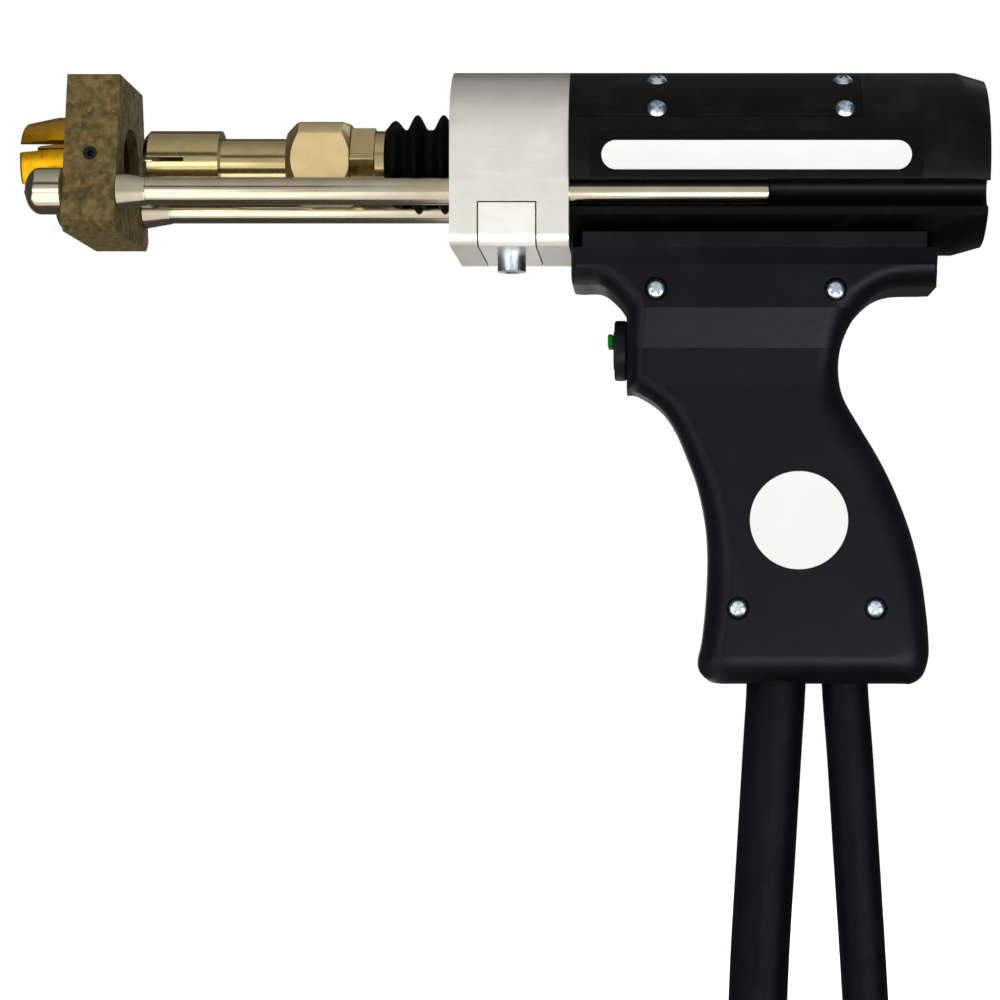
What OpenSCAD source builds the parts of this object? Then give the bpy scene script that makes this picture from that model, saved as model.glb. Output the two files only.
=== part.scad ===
// Hand-held drawn-arc stud welding gun.
// +X points to the rear, +Z up. The origin lies in the middle of the hand grip.

/* [Barrel] */
// Outer diameter of the barrel
barrel_d = 54; // [52:0.5:58]
// Share of the barrel's radius that the chamber for the solenoid takes
chamber_share = 0.593; // [0.56:0.001:0.6]
// Front face of the barrel housing
barrel_front = -61; // [-66:0.5:-58]
// Length of the barrel housing
barrel_len = 104.4; // [102:0.2:112]
// Length of the rear cap
cap_len = 18.2; // [16:0.2:24]
// Length of the taper on the rear edge of the cap
cap_taper_len = 8.5; // [4:0.5:10]
// Depth of the taper on the rear edge of the cap
cap_taper = 2.4; // [1:0.1:4]
// Wall of the rear cap
cap_wall = 4; // [2.5:0.5:6]
// Thickness of the curved top cover
cover_t = 1.6; // [1:0.1:2.5]
// Length of the top cover
cover_len = 85; // [82:1:95]
// Angle of the cover's lower edges above the horizontal
cover_edge = 21; // [15:1:25]
// Angle of the lower pair of cover screws above the horizontal
cover_screw_low = 27; // [25:1:32]
// Angle of the upper pair of cover screws above the horizontal
cover_screw_high = 55; // [45:1:65]
// Distance of the front cover screws behind the barrel's front face
cover_screw_first = 25.6; // [10:0.2:35]
// Distance between the two rings of cover screws
cover_screw_pitch = 54.6; // [40:0.2:56]
// Height of the slot that shows each leg
leg_slot_h = 7; // [5:0.5:7.5]
// Height of the slot's middle below the leg axis
leg_slot_drop = 1.2; // [0:0.1:2]

/* [Label] */
// Length of the white strip
strip_len = 91.6; // [60:0.2:94]
// Height of the white strip
strip_h = 10; // [6:0.5:11]
// Height of the strip's middle below the barrel axis
strip_drop = 1.8; // [1:0.1:2.5]
// Thickness of the film and of the strip
film_t = 0.3; // [0.2:0.05:0.6]
// Margin of the film around the strip's ends
film_margin_x = 2.4; // [1:0.1:3]
// Margin of the film above and below the strip
film_margin_z = 2; // [1:0.1:2.2]

/* [Front flange] */
// Length of the front flange
flange_len = 34.6; // [30:0.2:40]
// Width between the flange's flat sides
flange_w = 50; // [48:0.5:54]
// Depth of the flange's flat bottom below the barrel axis
flange_drop = 27.5; // [26:0.5:30]
// Radius of the flange's lower edges
flange_edge_r = 3.5; // [1:0.5:5]
// Length of the leg clamp bar
clamp_bar_len = 16.5; // [10:0.5:18]
// Distance of the clamp bar behind the flange's front face
clamp_bar_back = 8.4; // [6:0.2:10]
// Head diameter of the clamp screw
clamp_head_d = 8.5; // [7:0.5:10]
// Head height of the clamp screw
clamp_head_h = 5; // [4:0.5:6]
// Thread diameter of the clamp screw
clamp_thread_d = 5; // [4:0.5:5]

/* [Legs and foot] */
// Diameter of the support legs
leg_d = 8; // [7:0.5:8]
// Distance between the two leg axes
leg_gap = 36; // [35.5:0.5:37]
// Depth of the leg axes below the barrel axis
leg_drop = 10.8; // [10:0.2:11.2]
// Front face of the foot plate
foot_front = -208.5; // [-225:0.5:-206]
// Thickness of the foot plate
foot_t = 15.5; // [12:0.5:17]
// Rear end of the legs
leg_rear = -2.3; // [-20:0.1:5]
// Diameter of the cone collar behind the foot plate
collar_d = 11.2; // [9.5:0.2:13]
// Length of the cone collar
collar_len = 8.5; // [5:0.5:10]
// Thread diameter at the front of each leg
leg_thread_d = 6; // [5:0.5:6]
// Diameter of the domed nuts
dome_nut_d = 13.6; // [11:0.2:14]
// Length of the domed nuts
dome_nut_len = 11.5; // [9.5:0.5:14]
// Top width of the foot plate
foot_top_w = 31; // [29:0.5:36]
// Widest width of the foot plate
foot_w = 48; // [46:0.5:54]
// Height of the foot plate's top above the barrel axis
foot_rise = 24; // [20:0.5:30]
// Depth of the foot plate's widest point below the barrel axis
foot_drop = 20; // [18:0.5:24]
// Size of the chamfer along the foot plate's lower edges
foot_edge = 3; // [1:0.5:4]
// Outer diameter of the ferrule grip's neck in the foot plate
grip_tube_d = 27; // [25:0.5:28]
// Outer diameter of the ferrule grip's nose
ferrule_d = 28; // [27.5:0.5:32]
// Length of the ferrule grip's nose in front of the foot plate
ferrule_nose = 15; // [12:0.5:20]
// Taper of the nose's front part, in radius
ferrule_taper = 1.8; // [0.5:0.1:2]
// Length of the nose's front part that tapers
ferrule_taper_len = 9.5; // [6:0.5:10]
// Inner diameter of the ferrule grip
ferrule_bore_d = 21.2; // [21:0.2:22]
// Width of the slots in the ferrule grip's nose
ferrule_slot_w = 3; // [1:0.2:4]
// Number of slots in the ferrule grip's nose
ferrule_slots = 6; // [4:1:8]
// Angle of the first slot above the horizontal
ferrule_slot_angle = 15; // [0:5:30]
// Thickness of the foot plate behind the ferrule grip
foot_lip = 3; // [2:0.5:4]
// Diameter of the set screw that holds the ferrule grip
set_screw_d = 4; // [3:0.5:5]

/* [Chuck and spindle] */
// Front face of the chuck
chuck_front = -188; // [-191:0.5:-185]
// Length of the chuck's wide head
chuck_head_len = 22.5; // [20:0.5:26]
// Diameter of the chuck's head
chuck_d = 20; // [18:0.2:20]
// Diameter of the stud that the chuck holds
stud_d = 10; // [6:1:10]
// Depth of the stud hole
stud_depth = 20; // [16:1:24]
// Width of the chuck's slits
slit_w = 1.2; // [0.8:0.1:2]
// Length of the chuck's neck
chuck_neck_len = 20; // [16:0.5:24]
// Diameter of the chuck's neck
chuck_neck_d = 15.4; // [13:0.2:17]
// Diameter of the chuck's shank in the adapter
shank_d = 10; // [8:0.5:11]
// Length of the chuck's shank
shank_len = 8; // [6:0.5:9]
// Width across the adapter's flats
adapter_af = 23; // [20:0.5:24]
// Diameter that the adapter's corners are turned to
adapter_d = 27.4; // [26:0.2:30]
// Length of the adapter
adapter_len = 19; // [17:0.5:22]
// Width across the lock nut's flats
lock_nut_af = 20; // [18:0.5:22]
// Length of the lock nut
lock_nut_len = 7.5; // [6:0.5:9]
// Diameter of the spindle
spindle_d = 12; // [10:0.5:12]
// Lift of the spindle
spindle_lift = 8; // [6:0.5:8]
// Wall of the front bush around the spindle
bush_wall = 3; // [2:0.5:3.5]
// Diameter of the collar in front of the bellows
bellows_collar_d = 20; // [19:0.5:23]
// Length of the collar in front of the bellows
bellows_collar_len = 2.8; // [2:0.2:3.2]
// Diameter of the bellows at the valleys
bellows_valley_d = 20.6; // [19.5:0.2:22]
// Diameter of the bellows at the ridges
bellows_ridge_d = 29.4; // [26:0.2:32]
// Wall of the bellows
bellows_wall = 1.2; // [0.8:0.1:1.6]

/* [Lifting drive] */
// Length of the spring seat on the spindle
seat_len = 6; // [5:0.5:8]
// Diameter of the spring seat
seat_d = 26; // [24:0.5:28]
// Mean diameter of the return spring
spring_d = 20; // [18:0.5:22]
// Wire diameter of the return spring
spring_wire = 2; // [1.5:0.1:2.5]
// Turns of the return spring
spring_turns = 6; // [4:1:7]
// Share of the free length in the barrel that the return spring takes
spring_share = 0.412; // [0.39:0.002:0.43]
// Thickness of the rear guide plate
guide_t = 6; // [4:0.5:7]
// Length of the current clamp on the spindle
current_clamp_len = 6; // [5:0.5:7]
// Diameter of the current clamp
current_clamp_d = 24; // [22:0.5:26]
// Room behind the solenoid, for the terminal block
rear_room = 9.2; // [8:0.2:11]
// Share of the chamber's radius that the solenoid yoke's wall takes
yoke_share = 0.125; // [0.1:0.005:0.15]
// Thickness of the yoke's end plates
yoke_plate = 4; // [3:0.5:5]
// Share of the chamber's radius that the armature takes
core_share = 0.5; // [0.48:0.01:0.53]
// Share of the bobbin's length that the armature takes
armature_share = 0.44; // [0.4:0.01:0.46]
// Wall of the bobbin
bobbin_wall = 1.2; // [0.8:0.1:1.5]

/* [Saddle and grip] */
// Height of the grip's top above the middle of the hand grip
seat_z = 69.5; // [69:0.5:73]
// Width of the saddle and of the grip's top
saddle_w = 48; // [46:0.5:50]
// Height of the saddle's rims above its seat on the grip
saddle_rim = 4.5; // [3.5:0.5:6]
// Thickness of the saddle under the barrel
saddle_floor = 1; // [1:0.2:3]
// Length of the saddle
saddle_len = 100; // [96:1:102]
// Distance of the saddle behind the barrel's front face
saddle_back = 4; // [3:0.5:6]
// Half thickness of the grip just below the saddle
grip_top_t = 20; // [19:0.5:22]
// Half thickness of the grip where the hand holds it
grip_t = 15.5; // [15:0.5:18]
// Depth of the rounding on the grip's edges
grip_round = 9; // [6:0.5:10]
// Half width of the hollow in the grip
hollow_t = 11; // [10.5:0.5:12]
// Diameter of the grip screw heads
grip_head_d = 6.4; // [5.5:0.2:7]
// Thread diameter of the grip screws
grip_thread_d = 3.4; // [3:0.2:4]
// Diameter of the screw posts in the grip
post_d = 10; // [8:0.5:11]
// Diameter of the round badge
badge_d = 28.8; // [20:0.2:32]
// Thickness of the round badge
badge_t = 1.2; // [0.8:0.1:2]

/* [Trigger] */
// Height of the trigger axis above the middle of the hand grip
trigger_z = 41.7; // [41:0.1:43]
// Front face of the trigger's bezel
trigger_front = -48.1; // [-50:0.1:-47]
// Diameter of the trigger's bezel
bezel_d = 18; // [16:0.2:20]
// Length of the bezel in front of the grip
bezel_len = 3.7; // [3:0.1:5]
// Diameter of the bezel's threaded neck
bezel_neck_d = 15; // [14:0.2:15.4]
// Diameter of the trigger button
button_d = 12; // [10:0.2:12.4]
// Travel of the trigger button
trigger_travel = 2; // [1:0.1:2.4]
// Height of the green bar on the button
bar_h = 4; // [3:0.2:5]
// Width of the green bar on the button
bar_w = 9; // [6:0.2:9.6]
// Reach of the green bar in front of the bezel
bar_reach = 2; // [1:0.1:3]
// Height of the green bar's middle above the trigger axis
bar_rise = 2.7; // [0:0.1:3]

/* [Cables] */
// Diameter of the welding cable
weld_d = 18; // [16:0.5:18]
// Place of the welding cable along the grip's bottom
weld_x = 0.3; // [-1:0.1:1]
// Diameter of the control cable
control_d = 14; // [12:0.5:14]
// Place of the control cable along the grip's bottom
control_x = 20.9; // [20:0.1:22]
// Wall of the cable grommets
grommet_wall = 1.6; // [1:0.1:2]
// Length of the cable grommets
grommet_len = 8; // [6:0.5:9]
// Diameter of the welding plug
plug_d = 30; // [26:0.5:32]
// Diameter of the welding plug's pin
plug_pin_d = 13; // [9:0.5:13]
// Diameter of the control plug
control_plug_d = 24; // [20:0.5:26]

/* [Clearances] */
// Radial clearance of a running fit
run_gap = 0.06; // [0.03:0.01:0.1]
// Clearance between pieces that are screwed together
seat_gap = 0.15; // [0.1:0.05:0.3]
// Clearance between pieces that move past each other
move_gap = 0.4; // [0.3:0.05:0.6]

/* [Hidden] */
$fn = 64;

// Radii and places along the barrel
barrel_r = barrel_d / 2;
axis_z = seat_z + saddle_floor + barrel_r;
leg_ring_r = norm([leg_gap / 2, leg_drop]);
leg_wall = 1;
chamber_r = min(chamber_share * barrel_r, leg_ring_r - leg_d / 2 - leg_wall);
barrel_rear = barrel_front + barrel_len;
flange_front = barrel_front - flange_len;
cover_r = barrel_r - cover_t;
cover_rows = [barrel_front + cover_screw_first, barrel_front + cover_screw_first + cover_screw_pitch];
cover_angles = [
    cover_screw_low, cover_screw_high, 180 - cover_screw_high, 180 - cover_screw_low
];
small_thread_d = 2.5;
small_head_d = 5.8;
small_head_h = 1.6;
small_screw_len = 7;
cap_screw_angles = [60, 120, 270];
cap_screw_ring_r = (barrel_r + chamber_r) / 2;
cap_thread_d = 3;
cap_head_d = 5.4;
cap_head_h = 3;
cap_thread_len = 8;
flange_screw_angles = [40, 90, 140];
flange_screw_ring_r = (barrel_r + chamber_r) / 2 - 1.5;
flange_thread_d = 4;
flange_head_d = 7;
flange_head_h = 4;
flange_head_sink = 0.3;
flange_thread_len = 10;
label_mid_x = barrel_front + 6.2 + film_margin_x + strip_len / 2;
film_r = barrel_r + 0.05;

// Legs, foot and clamp
leg_r = leg_d / 2;
leg_y = leg_gap / 2;
leg_z = axis_z - leg_drop;
foot_rear = foot_front + foot_t;
bar_front = flange_front + clamp_bar_back;
bar_rear = bar_front + clamp_bar_len;
bar_top = leg_z - leg_r - move_gap;
flange_bottom = axis_z - flange_drop;
clamp_x = (bar_front + bar_rear) / 2;
foot_half_at_axis = foot_w / 2 - (foot_w - foot_top_w) / 2 * foot_drop / (foot_rise + foot_drop);
nose_front = foot_front - ferrule_nose;
ferrule_seat_d = ferrule_bore_d + 0.8;
ferrule_seat_len = 20;

// Chuck and spindle, from the front
spindle_r = spindle_d / 2;
neck_front = chuck_front + chuck_head_len;
adapter_front = neck_front + chuck_neck_len;
adapter_rear = adapter_front + adapter_len;
nut_rear = adapter_rear + lock_nut_len;
bellows_front = nut_rear + bellows_collar_len;
bellows_len = flange_front - bellows_front;
spindle_front = adapter_front + shank_len + 1.5;
bush_r = spindle_r + bush_wall;

// Lifting drive, from the front
free_len = barrel_len - seat_len - guide_t - current_clamp_len - spindle_lift - 3 * move_gap - rear_room;
spring_len = free_len * spring_share;
yoke_len = free_len - spring_len;
seat_front = barrel_front + move_gap;
spring_front = seat_front + seat_len;
guide_front = spring_front + spring_len;
guide_rear = guide_front + guide_t;
current_front = guide_rear + move_gap;
yoke_front = current_front + current_clamp_len + spindle_lift + move_gap;
yoke_rear = yoke_front + yoke_len;
bobbin_front = yoke_front + yoke_plate;
bobbin_rear = yoke_rear - yoke_plate;
armature_front = bobbin_front + 2;
armature_len = (bobbin_rear - bobbin_front) * armature_share;
armature_rear = armature_front + armature_len;
pole_front = armature_rear + spindle_lift + 1;
armature_r = core_share * chamber_r;
yoke_wall = yoke_share * chamber_r;
yoke_r = chamber_r - seat_gap;
bobbin_r = yoke_r - yoke_wall - seat_gap;
bobbin_tube_r = armature_r + move_gap + bobbin_wall;
braid_w = 10;
braid_t = 2.6;
// Bends of the braid: shares of its way to the front and of its way up
braid_bends = [[0, 0], [0, 0.156], [0.36, 0.417], [0.886, 0.677], [1, 0.885], [1, 1]];
lug_top = 46;
clamp_flat_z = axis_z - current_clamp_d / 2 - 1;

// Saddle and grip
saddle_front = barrel_front + saddle_back;
upper_screws = [[-35.7, 58], [16.8, 57.8]];
lower_screws = [[-11.6, -35.4], [28.9, -35.4]];
key_w = 11;
key_bottom = 53.4;
saddle_thread_d = 4;
saddle_screw_x = [-26.4, 5];
badge_x = 6.3;
badge_z = -9.5;
head_sink = 2.4;
insert_d = 5.2;
insert_len = 6;
clamp_plate_t = 6;

trigger_face = trigger_front + bezel_len;

// Grip outline, front top corner first: [x, z] at the middle and [x, z] on the flat side
grip_outline = [
    [[-60.6, seat_z], [-58.8, seat_z]], [[-60.6, 61.5], [-58.8, 66]], [[-59.1, 60], [-57.5, 66]],
    [[-52, 59.8], [-51.2, 66]], [[-47.5, 56.5], [-44.2, 61.6]], [[-44.8, 53], [-38.9, 55.2]],
    [[trigger_face, 51.2], [-38.2, 52]], [[trigger_face, 38], [-39.5, 40.2]],
    [[trigger_face, 28.8], [-39.5, 33.5]],
    [[-41, 28.3], [-37, 32]], [[-34.5, 24], [-27.5, 25]], [[-30, 18], [-24.5, 19]],
    [[-26.1, 9], [-19.5, 8.5]], [[-23.1, 0.5], [-16.3, 0]], [[-20.8, -11], [-13.7, -11]],
    [[-20.2, -22], [-12.8, -22]], [[-20.8, -35], [-13.2, -34]], [[-22, -46], [-14.6, -44]],
    [[-23.1, -51], [-14.9, -47.6]], [[-22.6, -54.5], [-14.5, -48.6]],
    [[-19.5, -57.3], [-13.5, -49]], [[-16, -57.9], [-12, -49.1]], [[12, -57.9], [12, -49.1]],
    [[40, -57.9], [33, -49.1]], [[43.5, -55.5], [34.6, -48.6]], [[45.3, -50], [35.4, -47]],
    [[45.2, -43], [35.4, -42]], [[44.4, -35], [35.1, -35]], [[42.9, -25], [33.7, -25]],
    [[39.9, -13], [30.6, -14]], [[35.4, -1], [25.6, -2.5]], [[30.5, 9], [20.3, 7]],
    [[24.5, 19], [14.6, 16]], [[20, 27], [11.2, 24]], [[18.5, 34], [10, 31.4]],
    [[18.9, 41], [12, 40.5]], [[21, 47.1], [13.9, 51.6]], [[24.5, 52.5], [15, 55.2]],
    [[29.4, 57], [21.1, 59.8]], [[35.4, 59.1], [29.9, 64.5]], [[45.9, 59.4], [40, 66.2]],
    [[47, 60.5], [45.3, 66.3]], [[47, seat_z], [45.3, seat_z]]
];
grip_bottom = -57.9;
// Half thickness of the grip over its height
grip_profile = [
    [grip_bottom - 1, grip_t], [29.5, grip_t], [41, grip_t + 1], [52.5, grip_top_t],
    [65, grip_top_t], [seat_z, saddle_w / 2]
];
// Outline of the hollow for the cables and the switch
hollow_floor = -50;
grip_hollow = [
    [-50, seat_z + 1], [-50, 63.5], [-41.7, 53], [-37.3, 52], [-37.3, 31], [-27, 19], [-19, 4],
    [-15, -12], [-14.5, hollow_floor], [36, hollow_floor], [36, -40], [34, -26], [29, -13],
    [23, 0], [17, 10], [12, 22], [11, 32], [13, 43], [22.8, 52.8], [30, 61], [38, 64],
    [38, seat_z + 1]
];

// Trigger
neck_rear = -33.5;
trigger_nut_len = 3;
button_front = trigger_front - 0.3;
pressed_spring_len = 4.5;
button_len = neck_rear - button_front - trigger_travel - pressed_spring_len;
trigger_spring_d = 8;
trigger_spring_wire = 0.8;
switch_size = [14, 11, 12];

// Cables: the bench that carries their coils, and the middle of the coils
bench_z = -265;
coil_x = 106;
coil_y = 75;
cable_top = -42;
weld_r = weld_d / 2;
control_r = control_d / 2;
weld_turns = [112, 94];
weld_layers = 2;
control_turns = [77, 63];
control_layers = 3;
weld_route = [
    [weld_x, 0, cable_top], [weld_x, 0, -58], [-1, 0, -80], [-2.8, 0, -110], [-4.6, 0, -140],
    [-5.6, 0, -168], [-6, 2.6, -200], [-6, 10, -218.5], [-6, 22, -234], [-6, 37.5, -246],
    [-6, 55.5, -253.5], [-6, 75, -256]
];
weld_tail = [
    [9, 131, -238], [22, 150, -233], [38, 165, -224], [52, 174, -217], [62, 178, -214]
];
control_route = [
    [control_x, 0, cable_top], [control_x, 0, -58], [22.5, 0, -80], [24.4, 0, -110],
    [26.3, 0, -140], [27.4, 0, -160], [28, 2, -177.5], [28.3, 8, -192], [28.6, 17.5, -204.5],
    [28.8, 30, -214], [29, 44.5, -220], [29, 60, -222], [29, 76, -223]
];
control_tail = [[52, 107, -230], [60, 118, -227], [72, 130, -220], [82, 138, -214], [90, 142, -211]];
wire_route = [
    [control_x, 0, cable_top + 0.2], [20.5, 0, -30], [16, 3, -16], [10, 7, -2], [2, 7.6, 12],
    [-7, 7, 24], [-9.5, 5, 34], [-13, 3, 39.6], [-18.3, 2, 41]
];
wire_r = 2;
weld_plug_at = [62, 178, -213.8];
control_plug_at = [90, 142, -210.8];
plug_len = 58;
plug_pin_len = 28;
control_plug_len = 52;

// Unit vector along v
function unit(v) = v / norm(v);
// Direction of a route at its point i
function heading(route, i) =
    unit(route[min(i + 1, len(route) - 1)] - route[max(i - 1, 0)]);
// Ring of points around point i of a route, with side as the way its first point looks
function tube_ring(route, i, r, sides, side) =
    let (t = heading(route, i), u = unit(side - (side * t) * t), v = cross(t, u))
    [for (j = [0 : sides - 1]) route[i] + r * (cos(360 * j / sides) * u + sin(360 * j / sides) * v)];

// Closed round tube along a route
module tube_along(route, r, sides = 10, side = [1, 0, 0]) {
    n = len(route);
    points = [for (i = [0 : n - 1]) each tube_ring(route, i, r, sides, side)];
    walls = [
        for (i = [0 : n - 2]) for (j = [0 : sides - 1])
            let (k = (j + 1) % sides, a = i * sides, b = a + sides)
            each [[a + j, b + j, b + k], [a + j, b + k, a + k]]
    ];
    first = [for (j = [0 : sides - 1]) j];
    last = [for (j = [0 : sides - 1]) n * sides - 1 - j];
    polyhedron(points, concat([first], walls, [last]));
}

// Round bar on a line along X at the height of the barrel axis
module x_bar(x, length, r, y = 0, z = axis_z) {
    translate([x, y, z]) rotate([0, 90, 0]) cylinder(h = length, r = r);
}

// Ring on the barrel axis
module x_ring(x, length, r, bore) {
    difference() {
        x_bar(x, length, r);
        x_bar(x - 1, length + 2, bore);
    }
}

// Six-sided bar on the barrel axis, with a corner to each side
module x_hex(x, length, af) {
    translate([x, 0, axis_z]) rotate([0, 90, 0]) rotate(30)
        cylinder(h = length, d = af / cos(30), $fn = 6);
}

// Places its children on the barrel axis at x, pointing outwards at an angle above the horizontal
module radial(x, angle) {
    translate([x, 0, axis_z]) rotate([90 - angle, 0, 0]) children();
}

// Coil spring that runs along X
module x_spring(x, y, z, length, mean_d, wire, turns) {
    steps = 10;
    pitch = (length - wire) / turns;
    route = [
        for (i = [0 : turns * steps])
            [x + wire / 2 + pitch * i / steps, y + mean_d / 2 * cos(360 * i / steps),
             z + mean_d / 2 * sin(360 * i / steps)]
    ];
    tube_along(route, wire / 2, 8);
}

// Round screw with a pan head, head outwards along Z from z = 0
module pan_screw(thread_d, length, head_d, head_h) {
    translate([0, 0, -length]) cylinder(h = length, d = thread_d);
    cylinder(h = head_h, d1 = head_d, d2 = head_d * 0.8);
}

// Outline in Y and Z around the barrel axis, extruded along X
module x_prism(x, length) {
    translate([x, 0, axis_z]) rotate([90, 0, 90]) linear_extrude(length) children();
}

// Outline in X and Z, extruded along Y from y
module y_prism(y, length) {
    translate([0, y + length, 0]) rotate([90, 0, 0]) linear_extrude(length) children();
}

// Round bar along Y
module y_bar(x, y, z, length, r) {
    translate([x, y + length, z]) rotate([90, 0, 0]) cylinder(h = length, r = r);
}

// Both support legs' places
module at_legs() {
    for (side = [-1, 1]) translate([0, side * leg_y, leg_z]) children();
}

// Arch-shaped section of the front flange
module flange_section() {
    half = flange_w / 2;
    intersection() {
        circle(r = barrel_r);
        translate([-half, 0]) square([flange_w, barrel_r]);
    }
    translate([-half, flange_edge_r - flange_drop]) square([flange_w, flange_drop - flange_edge_r]);
    translate([flange_edge_r - half, -flange_drop])
        square([flange_w - 2 * flange_edge_r, flange_edge_r + 0.01]);
    for (side = [-1, 1])
        translate([side * (half - flange_edge_r), flange_edge_r - flange_drop]) circle(r = flange_edge_r);
}

// Places of the screws that hold the flange to the barrel
module at_flange_screws(x) {
    for (a = flange_screw_angles)
        translate([x, flange_screw_ring_r * cos(a), axis_z + flange_screw_ring_r * sin(a)])
            rotate([0, 90, 0]) children();
}

module front_flange() {
    color("silver") difference() {
        x_prism(flange_front, flange_len) flange_section();
        x_bar(flange_front - 1, flange_len + 2, bush_r + run_gap);
        at_legs() translate([flange_front - 1, 0, 0]) rotate([0, 90, 0])
            cylinder(h = flange_len + 2, r = leg_r + run_gap);
        translate([bar_front - move_gap, -flange_w, flange_bottom - 10])
            cube([clamp_bar_len + 2 * move_gap, 2 * flange_w, bar_top + move_gap - flange_bottom + 10]);
        translate([clamp_x, 0, flange_bottom])
            cylinder(h = flange_drop - bush_r, d = clamp_thread_d + 2 * run_gap);
        at_flange_screws(flange_front - 1) cylinder(h = flange_len + 2, d = flange_thread_d + 2 * seat_gap);
        at_flange_screws(flange_front - 1)
            cylinder(h = flange_head_h + flange_head_sink + 1, d = flange_head_d + 2 * seat_gap);
    }
}

module front_bush() {
    color("goldenrod") x_ring(flange_front, flange_len, bush_r, spindle_r + run_gap);
}

module flange_screws() {
    color("dimgray") {
        at_flange_screws(flange_front + flange_head_sink) cylinder(h = flange_head_h, d = flange_head_d);
        at_flange_screws(flange_front + flange_head_sink + flange_head_h - 0.01)
            cylinder(h = flange_len + flange_thread_len - flange_head_h, d = flange_thread_d);
    }
}

module clamp_bar() {
    color("lightgray") difference() {
        intersection() {
            translate([bar_front, -flange_w / 2, flange_bottom])
                cube([clamp_bar_len, flange_w, bar_top - flange_bottom]);
            x_prism(flange_front, flange_len) flange_section();
        }
        translate([clamp_x, 0, flange_bottom - 1])
            cylinder(h = flange_drop, d = clamp_thread_d + 2 * move_gap);
    }
}

module clamp_screw() {
    thread_top = axis_z - bush_r - 1;
    color("dimgray") difference() {
        union() {
            translate([clamp_x, 0, flange_bottom - clamp_head_h])
                cylinder(h = clamp_head_h, d = clamp_head_d);
            translate([clamp_x, 0, flange_bottom - 0.01])
                cylinder(h = thread_top - flange_bottom, d = clamp_thread_d);
        }
        translate([clamp_x, 0, flange_bottom - clamp_head_h - 0.01])
            cylinder(h = clamp_head_h * 0.55, d = clamp_head_d * 0.54, $fn = 6);
    }
}

// Region above the cover's lower edges
module cover_wedge(x, length, edge) {
    far = 2 * barrel_d;
    x_prism(x, length) polygon([[0, 0], [far * cos(edge), far * sin(edge)], [0, far],
        [-far * cos(edge), far * sin(edge)]]);
}

module at_cover_screws() {
    for (x = cover_rows) for (a = cover_angles) radial(x, a) children();
}

// Bores for the legs and the open slots beside them
module leg_slots(x, length) {
    at_legs() translate([x, 0, 0]) rotate([0, 90, 0]) cylinder(h = length, r = leg_r + move_gap);
    for (side = [-1, 1])
        translate([x, side * (leg_y + barrel_r) - barrel_r, leg_z - leg_slot_drop - leg_slot_h / 2])
            cube([length, barrel_d, leg_slot_h]);
}

module barrel_housing() {
    color("#1a1a1c") difference() {
        x_bar(barrel_front, barrel_len, barrel_r);
        x_bar(barrel_front - 1, barrel_len + 2, chamber_r);
        intersection() {
            x_ring(barrel_front - 1, cover_len + 1 + seat_gap, barrel_r + 1, cover_r - seat_gap);
            cover_wedge(barrel_front - 2, barrel_len, cover_edge);
        }
        leg_slots(barrel_front - 1, barrel_len + 2);
        translate([current_front - 0.5, -braid_w / 2 - 2, axis_z - barrel_d])
            cube([yoke_front - current_front + 0.5, braid_w + 4, barrel_d]);
        at_cover_screws() translate([0, 0, barrel_r - small_screw_len - 1])
            cylinder(h = small_screw_len + 2, d = small_thread_d + 2 * seat_gap);
        at_flange_screws(barrel_front - 1)
            cylinder(h = flange_thread_len + 3, d = flange_thread_d + 2 * seat_gap);
        at_cap_screws(barrel_rear - cap_thread_len - 1)
            cylinder(h = cap_thread_len + 2, d = cap_thread_d + 2 * seat_gap);
        at_saddle_screws(axis_z - barrel_d)
            cylinder(h = barrel_d - chamber_r - 1.5, d = saddle_thread_d + 2 * seat_gap);
    }
}

module top_cover() {
    color("#202022") difference() {
        intersection() {
            x_ring(barrel_front, cover_len, barrel_r, cover_r);
            cover_wedge(barrel_front - 1, barrel_len, cover_edge + 0.4);
        }
        at_cover_screws() translate([0, 0, chamber_r])
            cylinder(h = barrel_r, d = small_thread_d + 2 * seat_gap);
    }
}

module cover_screws() {
    color("lightsteelblue") at_cover_screws() translate([0, 0, barrel_r + 0.05])
        pan_screw(small_thread_d, small_screw_len, small_head_d, small_head_h);
}

module at_cap_screws(x) {
    for (a = cap_screw_angles)
        translate([x, cap_screw_ring_r * cos(a), axis_z + cap_screw_ring_r * sin(a)])
            rotate([0, 90, 0]) children();
}

module rear_cap() {
    color("#1a1a1c") difference() {
        translate([barrel_rear, 0, axis_z]) rotate([0, 90, 0]) rotate_extrude() polygon([
            [0, 0], [barrel_r, 0], [barrel_r, cap_len - cap_taper_len],
            [barrel_r - cap_taper, cap_len], [0, cap_len]
        ]);
        x_bar(barrel_rear - 1, cap_len - cap_wall + 1, chamber_r);
        leg_slots(barrel_rear - 1, cap_len + 2);
        at_cap_screws(barrel_rear - 1) cylinder(h = cap_len + 2, d = cap_thread_d + 2 * seat_gap);
        at_cap_screws(barrel_rear + cap_len - cap_head_h - 0.4)
            cylinder(h = cap_head_h + 2, d = cap_head_d + 2 * seat_gap);
    }
}

module rear_cap_screws() {
    shank = cap_len - cap_head_h - 0.4 + cap_thread_len;
    color("dimgray") at_cap_screws(barrel_rear + cap_len - cap_head_h - 0.3) {
        cylinder(h = cap_head_h, d = cap_head_d);
        translate([0, 0, -shank]) cylinder(h = shank + 0.01, d = cap_thread_d);
    }
}

// Strip with round ends, seen from the side of the barrel
module strip_outline(length, height) {
    r = height / 2;
    translate([label_mid_x, axis_z - strip_drop]) {
        square([length - height, height], center = true);
        for (end = [-1, 1]) translate([end * (length / 2 - r), 0]) circle(r = r);
    }
}

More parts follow.
